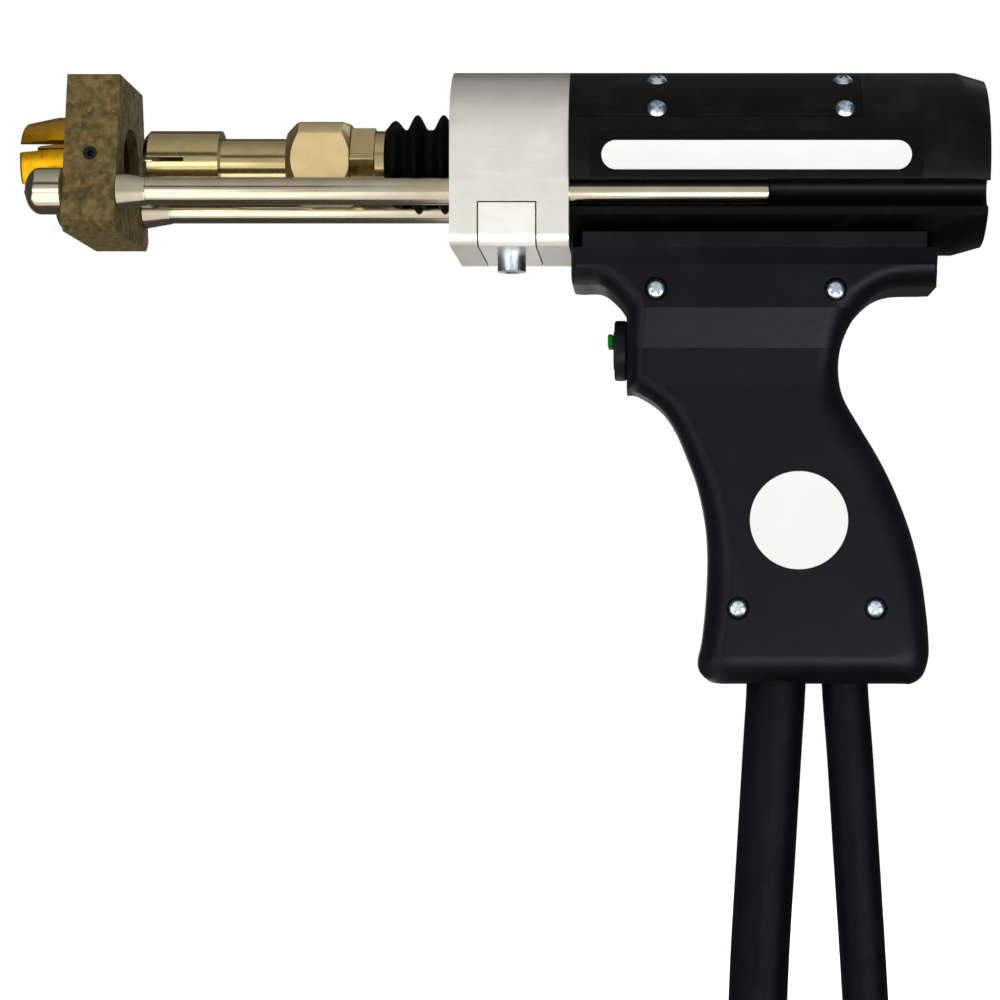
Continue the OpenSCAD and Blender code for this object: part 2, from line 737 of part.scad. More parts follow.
module label_film() {
    color("black") intersection() {
        x_ring(barrel_front, barrel_len, film_r + film_t, film_r);
        translate([label_mid_x - strip_len / 2 - film_margin_x, -barrel_d,
            axis_z - strip_drop - strip_h / 2 - film_margin_z + 0.8])
            cube([strip_len + 2 * film_margin_x, barrel_d, strip_h + 2 * film_margin_z - 0.8]);
    }
}

module label_strip() {
    color("white") intersection() {
        x_ring(barrel_front, barrel_len, film_r + 2 * film_t + 0.05, film_r + film_t + 0.05);
        y_prism(-barrel_d, barrel_d) strip_outline(strip_len, strip_h);
    }
}

module at_saddle_screws(z) {
    for (x = saddle_screw_x) translate([x, 0, z]) children();
}

module saddle() {
    color("#161618") difference() {
        union() {
            translate([saddle_front, -saddle_w / 2, seat_z]) cube([saddle_len, saddle_w, saddle_rim]);
            for (s = upper_screws) translate([s[0] - key_w / 2, 0.4 - hollow_t, key_bottom])
                cube([key_w, 2 * hollow_t - 0.8, seat_z - key_bottom + 0.01]);
        }
        x_bar(saddle_front - 1, saddle_len + 2, barrel_r + seat_gap);
        translate([current_front - 0.5, -braid_w / 2 - 2, seat_z - 1])
            cube([yoke_front - current_front + 0.5, braid_w + 4, saddle_rim]);
        for (s = upper_screws) y_bar(s[0], -hollow_t, s[1], 2 * hollow_t, grip_thread_d / 2 + seat_gap);
        at_saddle_screws(seat_z - 1) cylinder(h = saddle_rim + 2, d = saddle_thread_d + 2 * seat_gap);
    }
}

module saddle_screws() {
    color("dimgray") at_saddle_screws(seat_z - 0.05) mirror([0, 0, 1]) {
        cylinder(h = 2.4, d1 = saddle_thread_d * 1.8, d2 = saddle_thread_d * 1.5);
        translate([0, 0, -8]) cylinder(h = 8.01, d = saddle_thread_d);
    }
}

// Triangles that fill a ring of n points from its number first on, with rungs between its sides
function ring_face(first, n) =
    let (middle = (n - 1) / 2)
    concat(
        [for (k = [0 : middle - 2])
            each [[first + k, first + k + 1, first + n - 2 - k],
                  [first + k, first + n - 2 - k, first + n - 1 - k]]],
        [[first + middle - 1, first + middle, first + middle + 1]]
    );

// Half of the grip on the far side, solid, from rings of points that round its edges over
module grip_half_solid() {
    n = len(grip_outline);
    angles = [0, 18, 36, 54, 72, 90];
    round_ring = function (a) [
        for (p = grip_outline)
            let (q = p[0] + (p[1] - p[0]) * (1 - cos(a)))
            [q[0], lookup(q[1], grip_profile) - grip_round * (1 - sin(a)), q[1]]
    ];
    split_ring = [for (p = grip_outline) [p[0][0], 0, p[0][1]]];
    points = concat(split_ring, [for (a = angles) each round_ring(a)]);
    walls = [
        for (i = [0 : len(angles) - 1]) for (j = [0 : n - 1])
            let (k = (j + 1) % n, a = i * n, b = a + n)
            each [[a + j, a + k, b + k], [a + j, b + k, b + j]]
    ];
    split_face = [for (f = ring_face(0, n)) [f[2], f[1], f[0]]];
    polyhedron(points, concat(split_face, walls, ring_face(len(angles) * n, n)));
}

module grip_half() {
    difference() {
        union() {
            difference() {
                grip_half_solid();
                y_prism(-1, hollow_t + 1) polygon(grip_hollow);
            }
            for (s = lower_screws) y_bar(s[0], 0.1, s[1], hollow_t + 1, post_d / 2);
        }
        x_bar(trigger_face - 5, neck_rear - trigger_face + 6, bezel_neck_d / 2 + seat_gap, 0, trigger_z);
        for (c = [[weld_x, weld_d], [control_x, control_d]])
            translate([c[0], 0, grip_bottom - 1])
                cylinder(h = grommet_len + 2, r = grommet_r(c[1]) + seat_gap);
        for (s = concat(upper_screws, lower_screws))
            y_bar(s[0], -1, s[1], hollow_t + 1.2, grip_thread_d / 2 + seat_gap);
    }
}

// Half thickness of the grip at a screw
function grip_face(s) = lookup(s[1], grip_profile);
// Place of a screw's insert across the far shell
function insert_y(s) = s[1] > 0 ? hollow_t + 0.4 : hollow_t - insert_len;

module grip_shell_left() {
    color("#1c1c1e") difference() {
        mirror([0, 1, 0]) grip_half();
        for (s = concat(upper_screws, lower_screws)) {
            y_bar(s[0], -saddle_w, s[1], saddle_w + head_sink - grip_face(s), grip_head_d / 2 + seat_gap);
            y_bar(s[0], -saddle_w, s[1], saddle_w, grip_thread_d / 2 + seat_gap);
        }
        y_bar(badge_x, -saddle_w, badge_z, saddle_w - grip_t + badge_t - 0.4, badge_d / 2 + seat_gap);
    }
}

module grip_shell_right() {
    color("#1c1c1e") difference() {
        grip_half();
        for (s = concat(upper_screws, lower_screws))
            y_bar(s[0], insert_y(s) - 0.2, s[1], insert_len + 0.4, insert_d / 2 + seat_gap);
    }
}

module grip_screws() {
    color("lightsteelblue") for (s = concat(upper_screws, lower_screws)) {
        seat = head_sink - grip_face(s) - 0.05;
        y_bar(s[0], seat - 2.2, s[1], 2.2, grip_head_d / 2);
        y_bar(s[0], seat - 0.01, s[1], insert_y(s) + insert_len - seat - 0.5, grip_thread_d / 2);
    }
}

module grip_inserts() {
    color("goldenrod") for (s = concat(upper_screws, lower_screws)) difference() {
        y_bar(s[0], insert_y(s), s[1], insert_len, insert_d / 2);
        y_bar(s[0], insert_y(s) - 1, s[1], insert_len + 2, grip_thread_d / 2 + run_gap);
    }
}

module grip_badge() {
    color("white") y_bar(badge_x, -grip_t - 0.4, badge_z, badge_t - 0.05, badge_d / 2);
}

module trigger_bezel() {
    color("#111113") difference() {
        union() {
            x_bar(trigger_front, bezel_len, bezel_d / 2, 0, trigger_z);
            x_bar(trigger_face - 0.01, neck_rear - trigger_face, bezel_neck_d / 2, 0, trigger_z);
        }
        x_bar(trigger_front - 1, neck_rear - trigger_front + 2, button_d / 2 + run_gap, 0, trigger_z);
    }
}

module trigger_nut() {
    color("dimgray") difference() {
        x_bar(grip_hollow[3][0] + seat_gap, trigger_nut_len, bezel_neck_d / 2 + 2, 0, trigger_z);
        x_bar(grip_hollow[3][0] - 1, trigger_nut_len + 2, bezel_neck_d / 2 + seat_gap, 0, trigger_z);
    }
}

module trigger_button() {
    color("#141416") x_bar(button_front, button_len, button_d / 2, 0, trigger_z);
}

module trigger_bar() {
    front = trigger_front - bar_reach;
    color("limegreen") intersection() {
        translate([front, -bar_w / 2, trigger_z + bar_rise - bar_h / 2])
            cube([button_front - front, bar_w, bar_h]);
        x_bar(front, bar_reach, button_d / 2 - move_gap, 0, trigger_z);
    }
}

module trigger_spring() {
    start = button_front + button_len + 0.05;
    length = neck_rear - start;
    color("silver") x_spring(start, 0, trigger_z, length, trigger_spring_d, trigger_spring_wire, 4);
}

module trigger_switch() {
    color("#28282a") translate([neck_rear + 0.1, -switch_size[1] / 2, trigger_z - switch_size[2] / 2])
        cube(switch_size);
}

// Leg with its cone collar and threaded front end, on the leg axis
module leg() {
    round_len = 1.2;
    length = leg_rear - foot_rear;
    translate([foot_rear, 0, 0]) rotate([0, 90, 0]) rotate_extrude() polygon([
        [0, 0], [collar_d / 2, 0], [leg_r, collar_len], [leg_r, length - round_len],
        [leg_r - round_len, length], [0, length]
    ]);
    thread_len = foot_t + dome_nut_len * 0.6;
    translate([foot_rear - thread_len, 0, 0]) rotate([0, 90, 0])
        cylinder(h = thread_len + 0.01, d = leg_thread_d);
}

module leg_left() {
    color("gainsboro") translate([0, -leg_y, leg_z]) leg();
}

module leg_right() {
    color("gainsboro") translate([0, leg_y, leg_z]) leg();
}

module leg_nuts() {
    dome = dome_nut_d * 0.32;
    color("gainsboro") at_legs() translate([foot_front, 0, 0]) rotate([0, -90, 0]) difference() {
        rotate_extrude() polygon(concat(
            [[0, 0], [dome_nut_d / 2, 0], [dome_nut_d / 2, dome_nut_len - dome]],
            [for (a = [15 : 15 : 90])
                [dome_nut_d / 2 * cos(a), dome_nut_len - dome + dome * sin(a)]]
        ));
        translate([0, 0, -1]) cylinder(h = dome_nut_len * 0.6 + 1.2, d = leg_thread_d + 2 * seat_gap);
    }
}

module foot_plate() {
    color("#6b5a3c") difference() {
        x_prism(foot_front, foot_t) polygon([
            [-foot_top_w / 2, foot_rise], [foot_top_w / 2, foot_rise], [foot_w / 2, -foot_drop],
            [foot_w / 2 - foot_edge, -foot_drop - foot_edge],
            [foot_edge - foot_w / 2, -foot_drop - foot_edge], [-foot_w / 2, -foot_drop]
        ]);
        x_bar(foot_front - 1, foot_t - foot_lip + 1, grip_tube_d / 2 + seat_gap);
        x_bar(foot_front - 1, foot_t + 2, ferrule_bore_d / 2);
        at_legs() translate([foot_front - 1, 0, 0]) rotate([0, 90, 0])
            cylinder(h = foot_t + 2, d = leg_thread_d + 2 * seat_gap);
        y_bar(foot_front + foot_t / 2, -foot_w, axis_z, foot_w, set_screw_d / 2 + run_gap);
    }
}

module ferrule_grip() {
    edge = 0.7;
    slot_len = ferrule_nose - 1;
    length = ferrule_nose + foot_t - foot_lip - seat_gap;
    front_r = ferrule_d / 2 - ferrule_taper;
    color("goldenrod") difference() {
        translate([nose_front, 0, axis_z]) rotate([0, 90, 0]) rotate_extrude() polygon([
            [ferrule_seat_d / 2, 0], [front_r - edge, 0], [front_r, edge],
            [ferrule_d / 2, ferrule_taper_len], [ferrule_d / 2, ferrule_nose],
            [grip_tube_d / 2, ferrule_nose],
            [grip_tube_d / 2, length], [ferrule_bore_d / 2, length],
            [ferrule_bore_d / 2, ferrule_seat_len], [ferrule_seat_d / 2, ferrule_seat_len]
        ]);
        for (i = [0 : ferrule_slots - 1]) radial(nose_front, ferrule_slot_angle + 360 * i / ferrule_slots)
            translate([-1, -ferrule_slot_w / 2, 0]) cube([slot_len + 1, ferrule_slot_w, ferrule_d]);
    }
}

module ferrule_set_screw() {
    inner = grip_tube_d / 2 + 0.05;
    color("dimgray") difference() {
        y_bar(foot_front + foot_t / 2, 0.8 - foot_half_at_axis, axis_z, foot_half_at_axis - 0.8 - inner,
            set_screw_d / 2);
        y_bar(foot_front + foot_t / 2, -foot_half_at_axis, axis_z, 3, set_screw_d / 4);
    }
}

module chuck() {
    edge = 1.5;
    slit_len = stud_depth * 0.62;
    shank_end = chuck_head_len + chuck_neck_len + shank_len;
    color("#c9bda0") difference() {
        translate([chuck_front, 0, axis_z]) rotate([0, 90, 0]) rotate_extrude() polygon([
            [0, 0], [chuck_d / 2 - edge, 0], [chuck_d / 2, edge], [chuck_d / 2, chuck_head_len],
            [chuck_neck_d / 2, chuck_head_len], [chuck_neck_d / 2, chuck_head_len + chuck_neck_len],
            [shank_d / 2, chuck_head_len + chuck_neck_len], [shank_d / 2, shank_end], [0, shank_end]
        ]);
        x_bar(chuck_front - 1, stud_depth + 1, stud_d / 2);
        for (a = [0, 90]) translate([chuck_front, 0, axis_z]) rotate([a, 0, 0])
            translate([-1, -slit_w / 2, -chuck_d]) cube([slit_len + 1, slit_w, 2 * chuck_d]);
    }
}

module chuck_adapter() {
    chamfer = 4;
    color("#c9bda0") difference() {
        intersection() {
            x_prism(adapter_front, adapter_len) square(adapter_af, center = true);
            translate([adapter_front, 0, axis_z]) rotate([0, 90, 0]) rotate_extrude() polygon([
                [0, 0], [adapter_d / 2 - chamfer, 0], [adapter_d / 2, chamfer],
                [adapter_d / 2, adapter_len - chamfer / 2],
                [adapter_d / 2 - chamfer / 2, adapter_len], [0, adapter_len]
            ]);
        }
        x_bar(adapter_front - 1, shank_len + 1.5, shank_d / 2 + seat_gap);
        x_bar(spindle_front - 0.3, adapter_len, spindle_r + seat_gap);
    }
}

module lock_nut() {
    color("#c9bda0") difference() {
        x_hex(adapter_rear, lock_nut_len, lock_nut_af);
        x_bar(adapter_rear - 1, lock_nut_len + 2, spindle_r + seat_gap);
    }
}

module bellows_collar() {
    color("#c9bda0") x_ring(nut_rear, bellows_collar_len - 0.1, bellows_collar_d / 2, spindle_r + seat_gap);
}

// Outer radius of the bellows at a share s of its length
function bellows_r(s) =
    let (ridges = [[0.1, 0.6, 0.15], [0.43, 1, 0.17], [0.82, 1, 0.18]],
         rise = (bellows_ridge_d - bellows_valley_d) / 2,
         bumps = [for (k = ridges) k[1] * max(0, cos(90 * min(1, abs(s - k[0]) / k[2])))])
    bellows_valley_d / 2 + rise * max(bumps);

module bellows() {
    steps = 40;
    shares = [for (i = [0 : steps]) i / steps];
    color("#151516") translate([bellows_front, 0, axis_z]) rotate([0, 90, 0]) rotate_extrude() polygon(concat(
        [for (s = shares) [bellows_r(s), s * bellows_len]],
        [for (i = [0 : steps]) let (s = 1 - i / steps) [bellows_r(s) - bellows_wall, s * bellows_len]]
    ));
}

module spindle() {
    color("lightgray") x_bar(spindle_front, armature_rear - spindle_front, spindle_r);
}

module spring_seat() {
    color("gray") x_ring(seat_front, seat_len - 0.05, seat_d / 2, spindle_r + seat_gap);
}

module return_spring() {
    color("silver") x_spring(spring_front, 0, axis_z, spring_len - 0.1, spring_d, spring_wire, spring_turns);
}

module guide_plate() {
    color("goldenrod") x_ring(guide_front, guide_t, chamber_r - seat_gap, spindle_r + run_gap);
}

module current_clamp() {
    color("#b87333") difference() {
        union() {
            x_bar(current_front, current_clamp_len, current_clamp_d / 2);
            translate([current_front, -braid_w / 2, clamp_flat_z])
                cube([current_clamp_len, braid_w, axis_z - clamp_flat_z]);
        }
        x_bar(current_front - 1, current_clamp_len + 2, spindle_r + seat_gap);
    }
}

module current_braid() {
    way = current_front + current_clamp_len / 2 - weld_x;
    rise = clamp_flat_z - 0.1 - lug_top;
    path = [for (b = braid_bends) [weld_x + way * b[0], lug_top + rise * b[1]]];
    n = len(path);
    color("#b87333") y_prism(-braid_w / 2, braid_w) polygon(concat(
        [for (p = path) p - [braid_t / 2, 0]], [for (i = [1 : n]) path[n - i] + [braid_t / 2, 0]]
    ));
}

module current_lug() {
    crimp_len = 22;
    tongue = [12, 4];
    color("#b87333") {
        translate([weld_x, 0, cable_top + 0.05]) cylinder(h = crimp_len, d = weld_d * 0.7);
        translate([weld_x - tongue[0] / 2, -tongue[1] / 2, cable_top + crimp_len])
            cube([tongue[0], tongue[1], lug_top - cable_top - crimp_len]);
    }
}

module solenoid_yoke() {
    color("slategray") difference() {
        x_bar(yoke_front, yoke_len, yoke_r);
        x_bar(bobbin_front, yoke_len, yoke_r - yoke_wall);
        x_bar(yoke_front - 1, yoke_len, spindle_r + move_gap);
    }
}

module solenoid_pole() {
    color("slategray") {
        x_bar(pole_front, bobbin_rear - pole_front + 0.01, armature_r);
        x_bar(bobbin_rear, yoke_plate, yoke_r - yoke_wall - seat_gap);
    }
}

module solenoid_bobbin() {
    front = bobbin_front + 0.1;
    length = bobbin_rear - bobbin_front - 0.2;
    color("ivory") difference() {
        union() {
            x_bar(front, length, bobbin_tube_r);
            x_bar(front, bobbin_wall, bobbin_r);
            x_bar(front + length - bobbin_wall, bobbin_wall, bobbin_r);
        }
        x_bar(front - 1, length + 2, bobbin_tube_r - bobbin_wall);
    }
}

module solenoid_coil() {
    front = bobbin_front + bobbin_wall + 0.2;
    color("#8a4a20") x_ring(front, bobbin_rear - bobbin_front - 2 * bobbin_wall - 0.4, bobbin_r - 0.3,
        bobbin_tube_r + 0.1);
}

module armature() {
    color("gray") x_ring(armature_front, armature_len, armature_r, spindle_r + seat_gap);
}

module armature_ring() {
    color("dimgray") x_ring(armature_front - 1.1, 1, spindle_r + 1.2, spindle_r + 0.1);
}

module terminal_block() {
    size = [10, 18, 12];
    color("#e8e4d8") translate([yoke_rear + 0.1, -size[1] / 2, axis_z - size[2] / 2]) cube(size);
}

module control_wires() {
    color("#333335") tube_along(wire_route, wire_r, 8);
}

module cable_clamp() {
    front = grip_hollow[8][0] + 1.5;
    length = grip_hollow[9][0] - 3 - front;
    color("#2a2a2c") difference() {
        translate([front, 0.4 - hollow_t, hollow_floor + 0.1])
            cube([length, 2 * hollow_t - 0.8, clamp_plate_t]);
        for (c = [[weld_x, weld_d], [control_x, control_d]])
            translate([c[0], 0, hollow_floor - 1]) cylinder(h = clamp_plate_t + 3, d = c[1] + 2 * seat_gap);
    }
}

function grommet_r(cable_d) = cable_d / 2 + seat_gap + grommet_wall;

module cable_grommets() {
    color("#101012") for (c = [[weld_x, weld_d], [control_x, control_d]])
        translate([c[0], 0, grip_bottom + 0.1]) difference() {
            cylinder(h = grommet_len - 0.3, r = grommet_r(c[1]));
            translate([0, 0, -1]) cylinder(h = grommet_len + 2, d = c[1] + 2 * seat_gap);
        }
}

// Outer shape of a round coil that lies flat on the bench
module flat_coil(turns, layers, d) {
    translate([coil_x, coil_y, bench_z]) rotate_extrude() translate([min(turns) - d / 2, 0])
        square([max(turns) - min(turns) + d, layers * d]);
}

module welding_cable() {
    color("#121214") {
        tube_along(weld_route, weld_r);
        tube_along(weld_tail, weld_r, side = [0, 0, 1]);
    }
}

module welding_cable_coil() {
    color("#121214") flat_coil(weld_turns, weld_layers, weld_d);
}

module welding_plug() {
    color("#19191b") translate(weld_plug_at) rotate([0, 90, 0]) union() {
        rotate_extrude() polygon([
            [0, 0], [weld_r + 2, 0], [plug_d / 2, 16], [plug_d / 2, plug_len], [0, plug_len]
        ]);
        translate([0, 0, plug_len - 0.01]) cylinder(h = plug_pin_len, d = plug_pin_d);
    }
}

module control_cable() {
    color("#121214") {
        tube_along(control_route, control_r);
        tube_along(control_tail, control_r, side = [0, 0, 1]);
    }
}

module control_cable_coil() {
    color("#121214") flat_coil(control_turns, control_layers, control_d);
}

module control_plug() {
    color("#19191b") translate(control_plug_at) rotate([0, 90, 0]) rotate_extrude() polygon([
        [0, 0], [control_r + 1.5, 0], [control_r + 2, 14], [control_plug_d / 2, 20],
        [control_plug_d / 2, control_plug_len - 10], [control_plug_d / 2 - 3, control_plug_len - 10],
        [control_plug_d / 2 - 3, control_plug_len], [0, control_plug_len]
    ]);
}

front_flange();
front_bush();
flange_screws();
clamp_bar();
clamp_screw();
barrel_housing();
top_cover();
cover_screws();
rear_cap();
rear_cap_screws();
label_film();
label_strip();
saddle();
saddle_screws();
grip_shell_left();
grip_shell_right();
grip_screws();
grip_inserts();
grip_badge();
trigger_bezel();
trigger_nut();
trigger_button();
trigger_bar();
trigger_spring();
trigger_switch();
leg_left();
leg_right();
leg_nuts();
foot_plate();
ferrule_grip();
ferrule_set_screw();
chuck();
chuck_adapter();
lock_nut();
bellows_collar();
bellows();
spindle();
spring_seat();
return_spring();
guide_plate();
current_clamp();
current_braid();
current_lug();
solenoid_yoke();
solenoid_pole();
solenoid_bobbin();
solenoid_coil();
armature();
armature_ring();
terminal_block();
control_wires();
cable_clamp();
cable_grommets();
welding_cable();
welding_cable_coil();
welding_plug();
control_cable();
control_cable_coil();
control_plug();
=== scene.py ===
import math

import bmesh
import bpy
from mathutils import Matrix, Vector


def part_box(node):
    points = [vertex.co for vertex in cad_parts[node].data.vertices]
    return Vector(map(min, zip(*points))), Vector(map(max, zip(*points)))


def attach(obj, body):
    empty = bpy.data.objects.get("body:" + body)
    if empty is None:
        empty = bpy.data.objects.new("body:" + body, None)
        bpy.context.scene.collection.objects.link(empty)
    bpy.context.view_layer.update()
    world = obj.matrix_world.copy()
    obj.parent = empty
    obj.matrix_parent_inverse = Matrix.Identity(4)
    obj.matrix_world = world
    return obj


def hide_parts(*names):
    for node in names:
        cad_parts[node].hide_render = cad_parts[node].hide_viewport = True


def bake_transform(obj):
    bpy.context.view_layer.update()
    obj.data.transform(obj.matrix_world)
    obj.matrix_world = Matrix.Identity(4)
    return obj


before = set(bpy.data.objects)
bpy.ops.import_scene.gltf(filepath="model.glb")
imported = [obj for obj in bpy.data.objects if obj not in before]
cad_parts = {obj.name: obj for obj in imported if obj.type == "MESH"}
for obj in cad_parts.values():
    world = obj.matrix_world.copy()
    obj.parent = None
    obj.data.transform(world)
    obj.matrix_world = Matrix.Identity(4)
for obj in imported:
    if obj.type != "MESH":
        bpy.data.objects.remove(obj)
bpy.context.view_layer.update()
scene = bpy.context.scene
scene.view_settings.view_transform = "Standard"

MM = 0.001

# Places of the gun, in millimetres, the same as in the part's source: the barrel's axis and radius,
# the bench, the middle of both coils, and each lead's radius and place where it leaves the grip
AXIS_Z, BARREL_R = 97.5, 27.0
BENCH_Z = -265.0
COIL_X, COIL_Y = 106.0, 75.0
WELD_R, CONTROL_R = 9.0, 7.0
WELD_EXIT, CONTROL_EXIT = 0.3, 20.9

# The camera in millimetres, its lens and film width, and its shift that sets the gun in the picture
CAMERA_PLACE = (-34.5, -725.0, -30.0)
CAMERA_LENS, FILM_WIDTH = 87.0, 36.0
CAMERA_SHIFT = (-0.16, 0.09)


def side_camera():
    """Camera straight at the gun's left side, at the height of the grip's middle."""
    data = bpy.data.cameras.new("side_camera")
    data.sensor_width = FILM_WIDTH
    data.lens = CAMERA_LENS
    data.shift_x, data.shift_y = CAMERA_SHIFT
    camera = bpy.data.objects.new("side_camera", data)
    camera.location = [c * MM for c in CAMERA_PLACE]
    camera.rotation_euler = (math.radians(90), 0, 0)
    scene.collection.objects.link(camera)
    scene.camera = camera


side_camera()


def srgb(code):
    """Linear colour with alpha 1 from an sRGB hex value such as #c0a060."""
    parts = [int(code[i:i + 2], 16) / 255 for i in (1, 3, 5)]
    return [c / 12.92 if c <= 0.04045 else ((c + 0.055) / 1.055) ** 2.4 for c in parts] + [1.0]


def put(tree, kind, inputs=None, **settings):
    """Adds a node to a tree, with its settings, input values and links."""
    made = tree.nodes.new(kind)
    for name, value in settings.items():
        setattr(made, name, value)
    for key, value in (inputs or {}).items():
        if isinstance(value, bpy.types.NodeSocket):
            tree.links.new(value, made.inputs[key])
        else:
            made.inputs[key].default_value = value
    return made


# Parts of the noise that a finish spreads from none to full: patches and grain, the flecks' soft rim,
# rubbed edges and the most that they are rubbed; and the least roughness
PATCH_RANGE, GRAIN_RANGE, FLECK_RIM = (0.32, 0.68), (0.3, 0.7), 0.14
RUB_RANGE, RUB_MOST = (0.29, 0.42), 0.7
LEAST_ROUGH = 0.03


def finish(name, colour, other, roughness, spread=0.08, metallic=0.0, patch=9.0, grain=0.6,
           relief=0.01, stretch=(1, 1, 1), specks=None, worn=None, **shader):
    """Material with patches of a second colour, grain that varies the gloss, and a fine relief.

    patch, grain and relief are sizes in millimetres; stretch draws the grain out along an axis;
    specks is (colour, size in millimetres, share) for flecks; worn is the colour of rubbed edges."""
    material = bpy.data.materials.new(name)
    material.use_nodes = True
    tree = material.node_tree
    tree.nodes.clear()
    place = put(tree, "ShaderNodeTexCoord").outputs["Object"]
    drawn = put(tree, "ShaderNodeMapping", {"Vector": place, "Scale": stretch}).outputs[0]
    clouds = put(tree, "ShaderNodeTexNoise", {"Vector": place, "Scale": 1000 / patch, "Detail": 4.0})
    fine = put(tree, "ShaderNodeTexNoise", {"Vector": drawn, "Scale": 1000 / grain, "Detail": 3.0})
    share = put(tree, "ShaderNodeMapRange",
                {"Value": clouds.outputs[0], "From Min": PATCH_RANGE[0],
                 "From Max": PATCH_RANGE[1]}).outputs[0]
    paint = put(tree, "ShaderNodeMix", {0: share, 6: srgb(colour), 7: srgb(other)},
                data_type="RGBA").outputs[2]
    if specks:
        fleck, fleck_size, fleck_share = specks
        dots = put(tree, "ShaderNodeTexNoise",
                   {"Vector": place, "Scale": 1000 / fleck_size, "Detail": 2.0})
        where = put(tree, "ShaderNodeMapRange",
                    {"Value": dots.outputs[0], "From Min": 1 - fleck_share,
                     "From Max": 1 + FLECK_RIM - fleck_share})
        paint = put(tree, "ShaderNodeMix", {0: where.outputs[0], 6: paint, 7: srgb(fleck)},
                    data_type="RGBA").outputs[2]
    if worn:
        edge = put(tree, "ShaderNodeNewGeometry").outputs["Pointiness"]
        rubbed = put(tree, "ShaderNodeMath", {0: edge, 1: clouds.outputs[0]}, operation="MULTIPLY")
        where = put(tree, "ShaderNodeMapRange",
                    {"Value": rubbed.outputs[0], "From Min": RUB_RANGE[0],
                     "From Max": RUB_RANGE[1], "To Max": RUB_MOST})
        paint = put(tree, "ShaderNodeMix", {0: where.outputs[0], 6: paint, 7: srgb(worn)},
                    data_type="RGBA").outputs[2]
    gloss = put(tree, "ShaderNodeMapRange",
                {"Value": fine.outputs[0], "From Min": GRAIN_RANGE[0], "From Max": GRAIN_RANGE[1],
                 "To Min": max(LEAST_ROUGH, roughness - spread),
                 "To Max": roughness + spread}).outputs[0]
    bump = put(tree, "ShaderNodeBump", {"Height": fine.outputs[0], "Strength": 1.0,
                                        "Distance": relief * MM}).outputs[0]
    surface = put(tree, "ShaderNodeBsdfPrincipled",
                  {"Base Color": paint, "Metallic": metallic, "Roughness": gloss, "Normal": bump,
                   **{key.replace("_", " ").title().replace("Ior", "IOR"): value
                      for key, value in shader.items()}})
    put(tree, "ShaderNodeOutputMaterial", {"Surface": surface.outputs[0]})
    return material


# Anodised aluminium tube, turned: deep black with fine rings around the barrel
BARREL_BLACK = finish("black_anodised_tube", "#08080a", "#0c0c0e", 0.36, 0.06, grain=0.5,
                      relief=0.004, stretch=(1, 0.04, 0.04), worn="#1a1a1b", ior=1.16)
# Painted sheet of the top cover: a touch smoother than the barrel
COVER_BLACK = finish("black_painted_cover", "#08080a", "#0b0b0c", 0.4, 0.06, patch=14, grain=0.9,
                     relief=0.006, worn="#18181a", ior=1.13)
# Glass-filled nylon, moulded in a spark-eroded tool: fine even grain, dull and slightly blue
GRIP_NYLON = finish("moulded_black_nylon", "#0c0c11", "#111117", 0.37, 0.06, patch=18, grain=0.55,
                    relief=0.012, worn="#1a1a20", ior=1.17)
# Milled aluminium, fine cutter marks along the barrel
FLANGE_ALUMINIUM = finish("milled_aluminium", "#cecbc2", "#d5d2c9", 0.38, 0.06, metallic=1.0,
                          patch=7, grain=0.35, relief=0.003, stretch=(0.06, 1, 1))
# The clamp bar of the same metal, faced with a finer cutter: a little smoother than the flange, and
# brighter as painted light, its colour lifted so that it looks more lit
BAR_ALUMINIUM_PAINTED_LIGHT = finish("faced_aluminium_painted_light", "#e2dfd8", "#e8e5de", 0.36, 0.05, metallic=1.0, patch=7,
                       grain=0.35, relief=0.002, stretch=(0.06, 1, 1))
# Nickel-plated steel of the legs: bright and slightly warm, drawn lengthways
LEG_NICKEL = finish("nickel_plated_steel", "#a39a85", "#ada491", 0.16, 0.03, metallic=1.0, patch=10,
                    grain=0.3, relief=0.002, stretch=(0.05, 1, 1))
# Nickel-plated brass of the chuck: warm champagne, turned rings
CHUCK_NICKEL = finish("nickel_plated_brass", "#a09066", "#ab9b70", 0.17, 0.03, metallic=1.0, patch=6,
                      grain=0.35, relief=0.0006, stretch=(1, 0.05, 0.05))
# The same plate on the adapter's milled flats, a little duller; paler than the chuck as painted light,
# its colour lifted so that the flats look more lit
ADAPTER_NICKEL_PAINTED_LIGHT = finish("nickel_plated_flats_painted_light", "#c6b07f", "#d0bb8b", 0.36, 0.06, metallic=1.0, patch=5,
                        grain=0.4, relief=0.004)
# Bare brass of the ferrule grip: deep yellow, a little tarnished
FERRULE_BRASS = finish("tarnished_brass", "#a97a08", "#b98a14", 0.34, 0.08, metallic=1.0, patch=5,
                       grain=0.4, relief=0.004, stretch=(1, 0.08, 0.08), specks=("#7c5c14", 1.6, 0.36))
# The same brass inside the bore, burnt dark by the arc
FERRULE_SOOT = finish("sooted_brass", "#2a2008", "#3a2d0e", 0.6, 0.08, metallic=0.5, patch=4, grain=0.5,
                      relief=0.01, ior=1.2)
# Cotton and phenolic resin laminate, sawn: olive brown, blotched pale and dark by its fibres
FOOT_LAMINATE = finish("phenolic_laminate", "#423a24", "#6f5f37", 0.66, 0.1, patch=2.4, grain=0.5,
                       relief=0.05, specks=("#7c6840", 1.5, 0.37), worn="#6d6046",
                       ior=1.12)
# Chloroprene rubber of the bellows: matt black
BELLOWS_RUBBER = finish("chloroprene_rubber", "#050506", "#09090a", 0.5, 0.08, patch=5, grain=0.5,
                        relief=0.01, ior=1.1)
# Zinc-plated steel screws: bluish and bright
SCREW_ZINC = finish("blue_zinc_plate", "#a2b0be", "#b6c2cc", 0.28, 0.08, metallic=1.0, patch=2,
                    grain=0.2, relief=0.003)
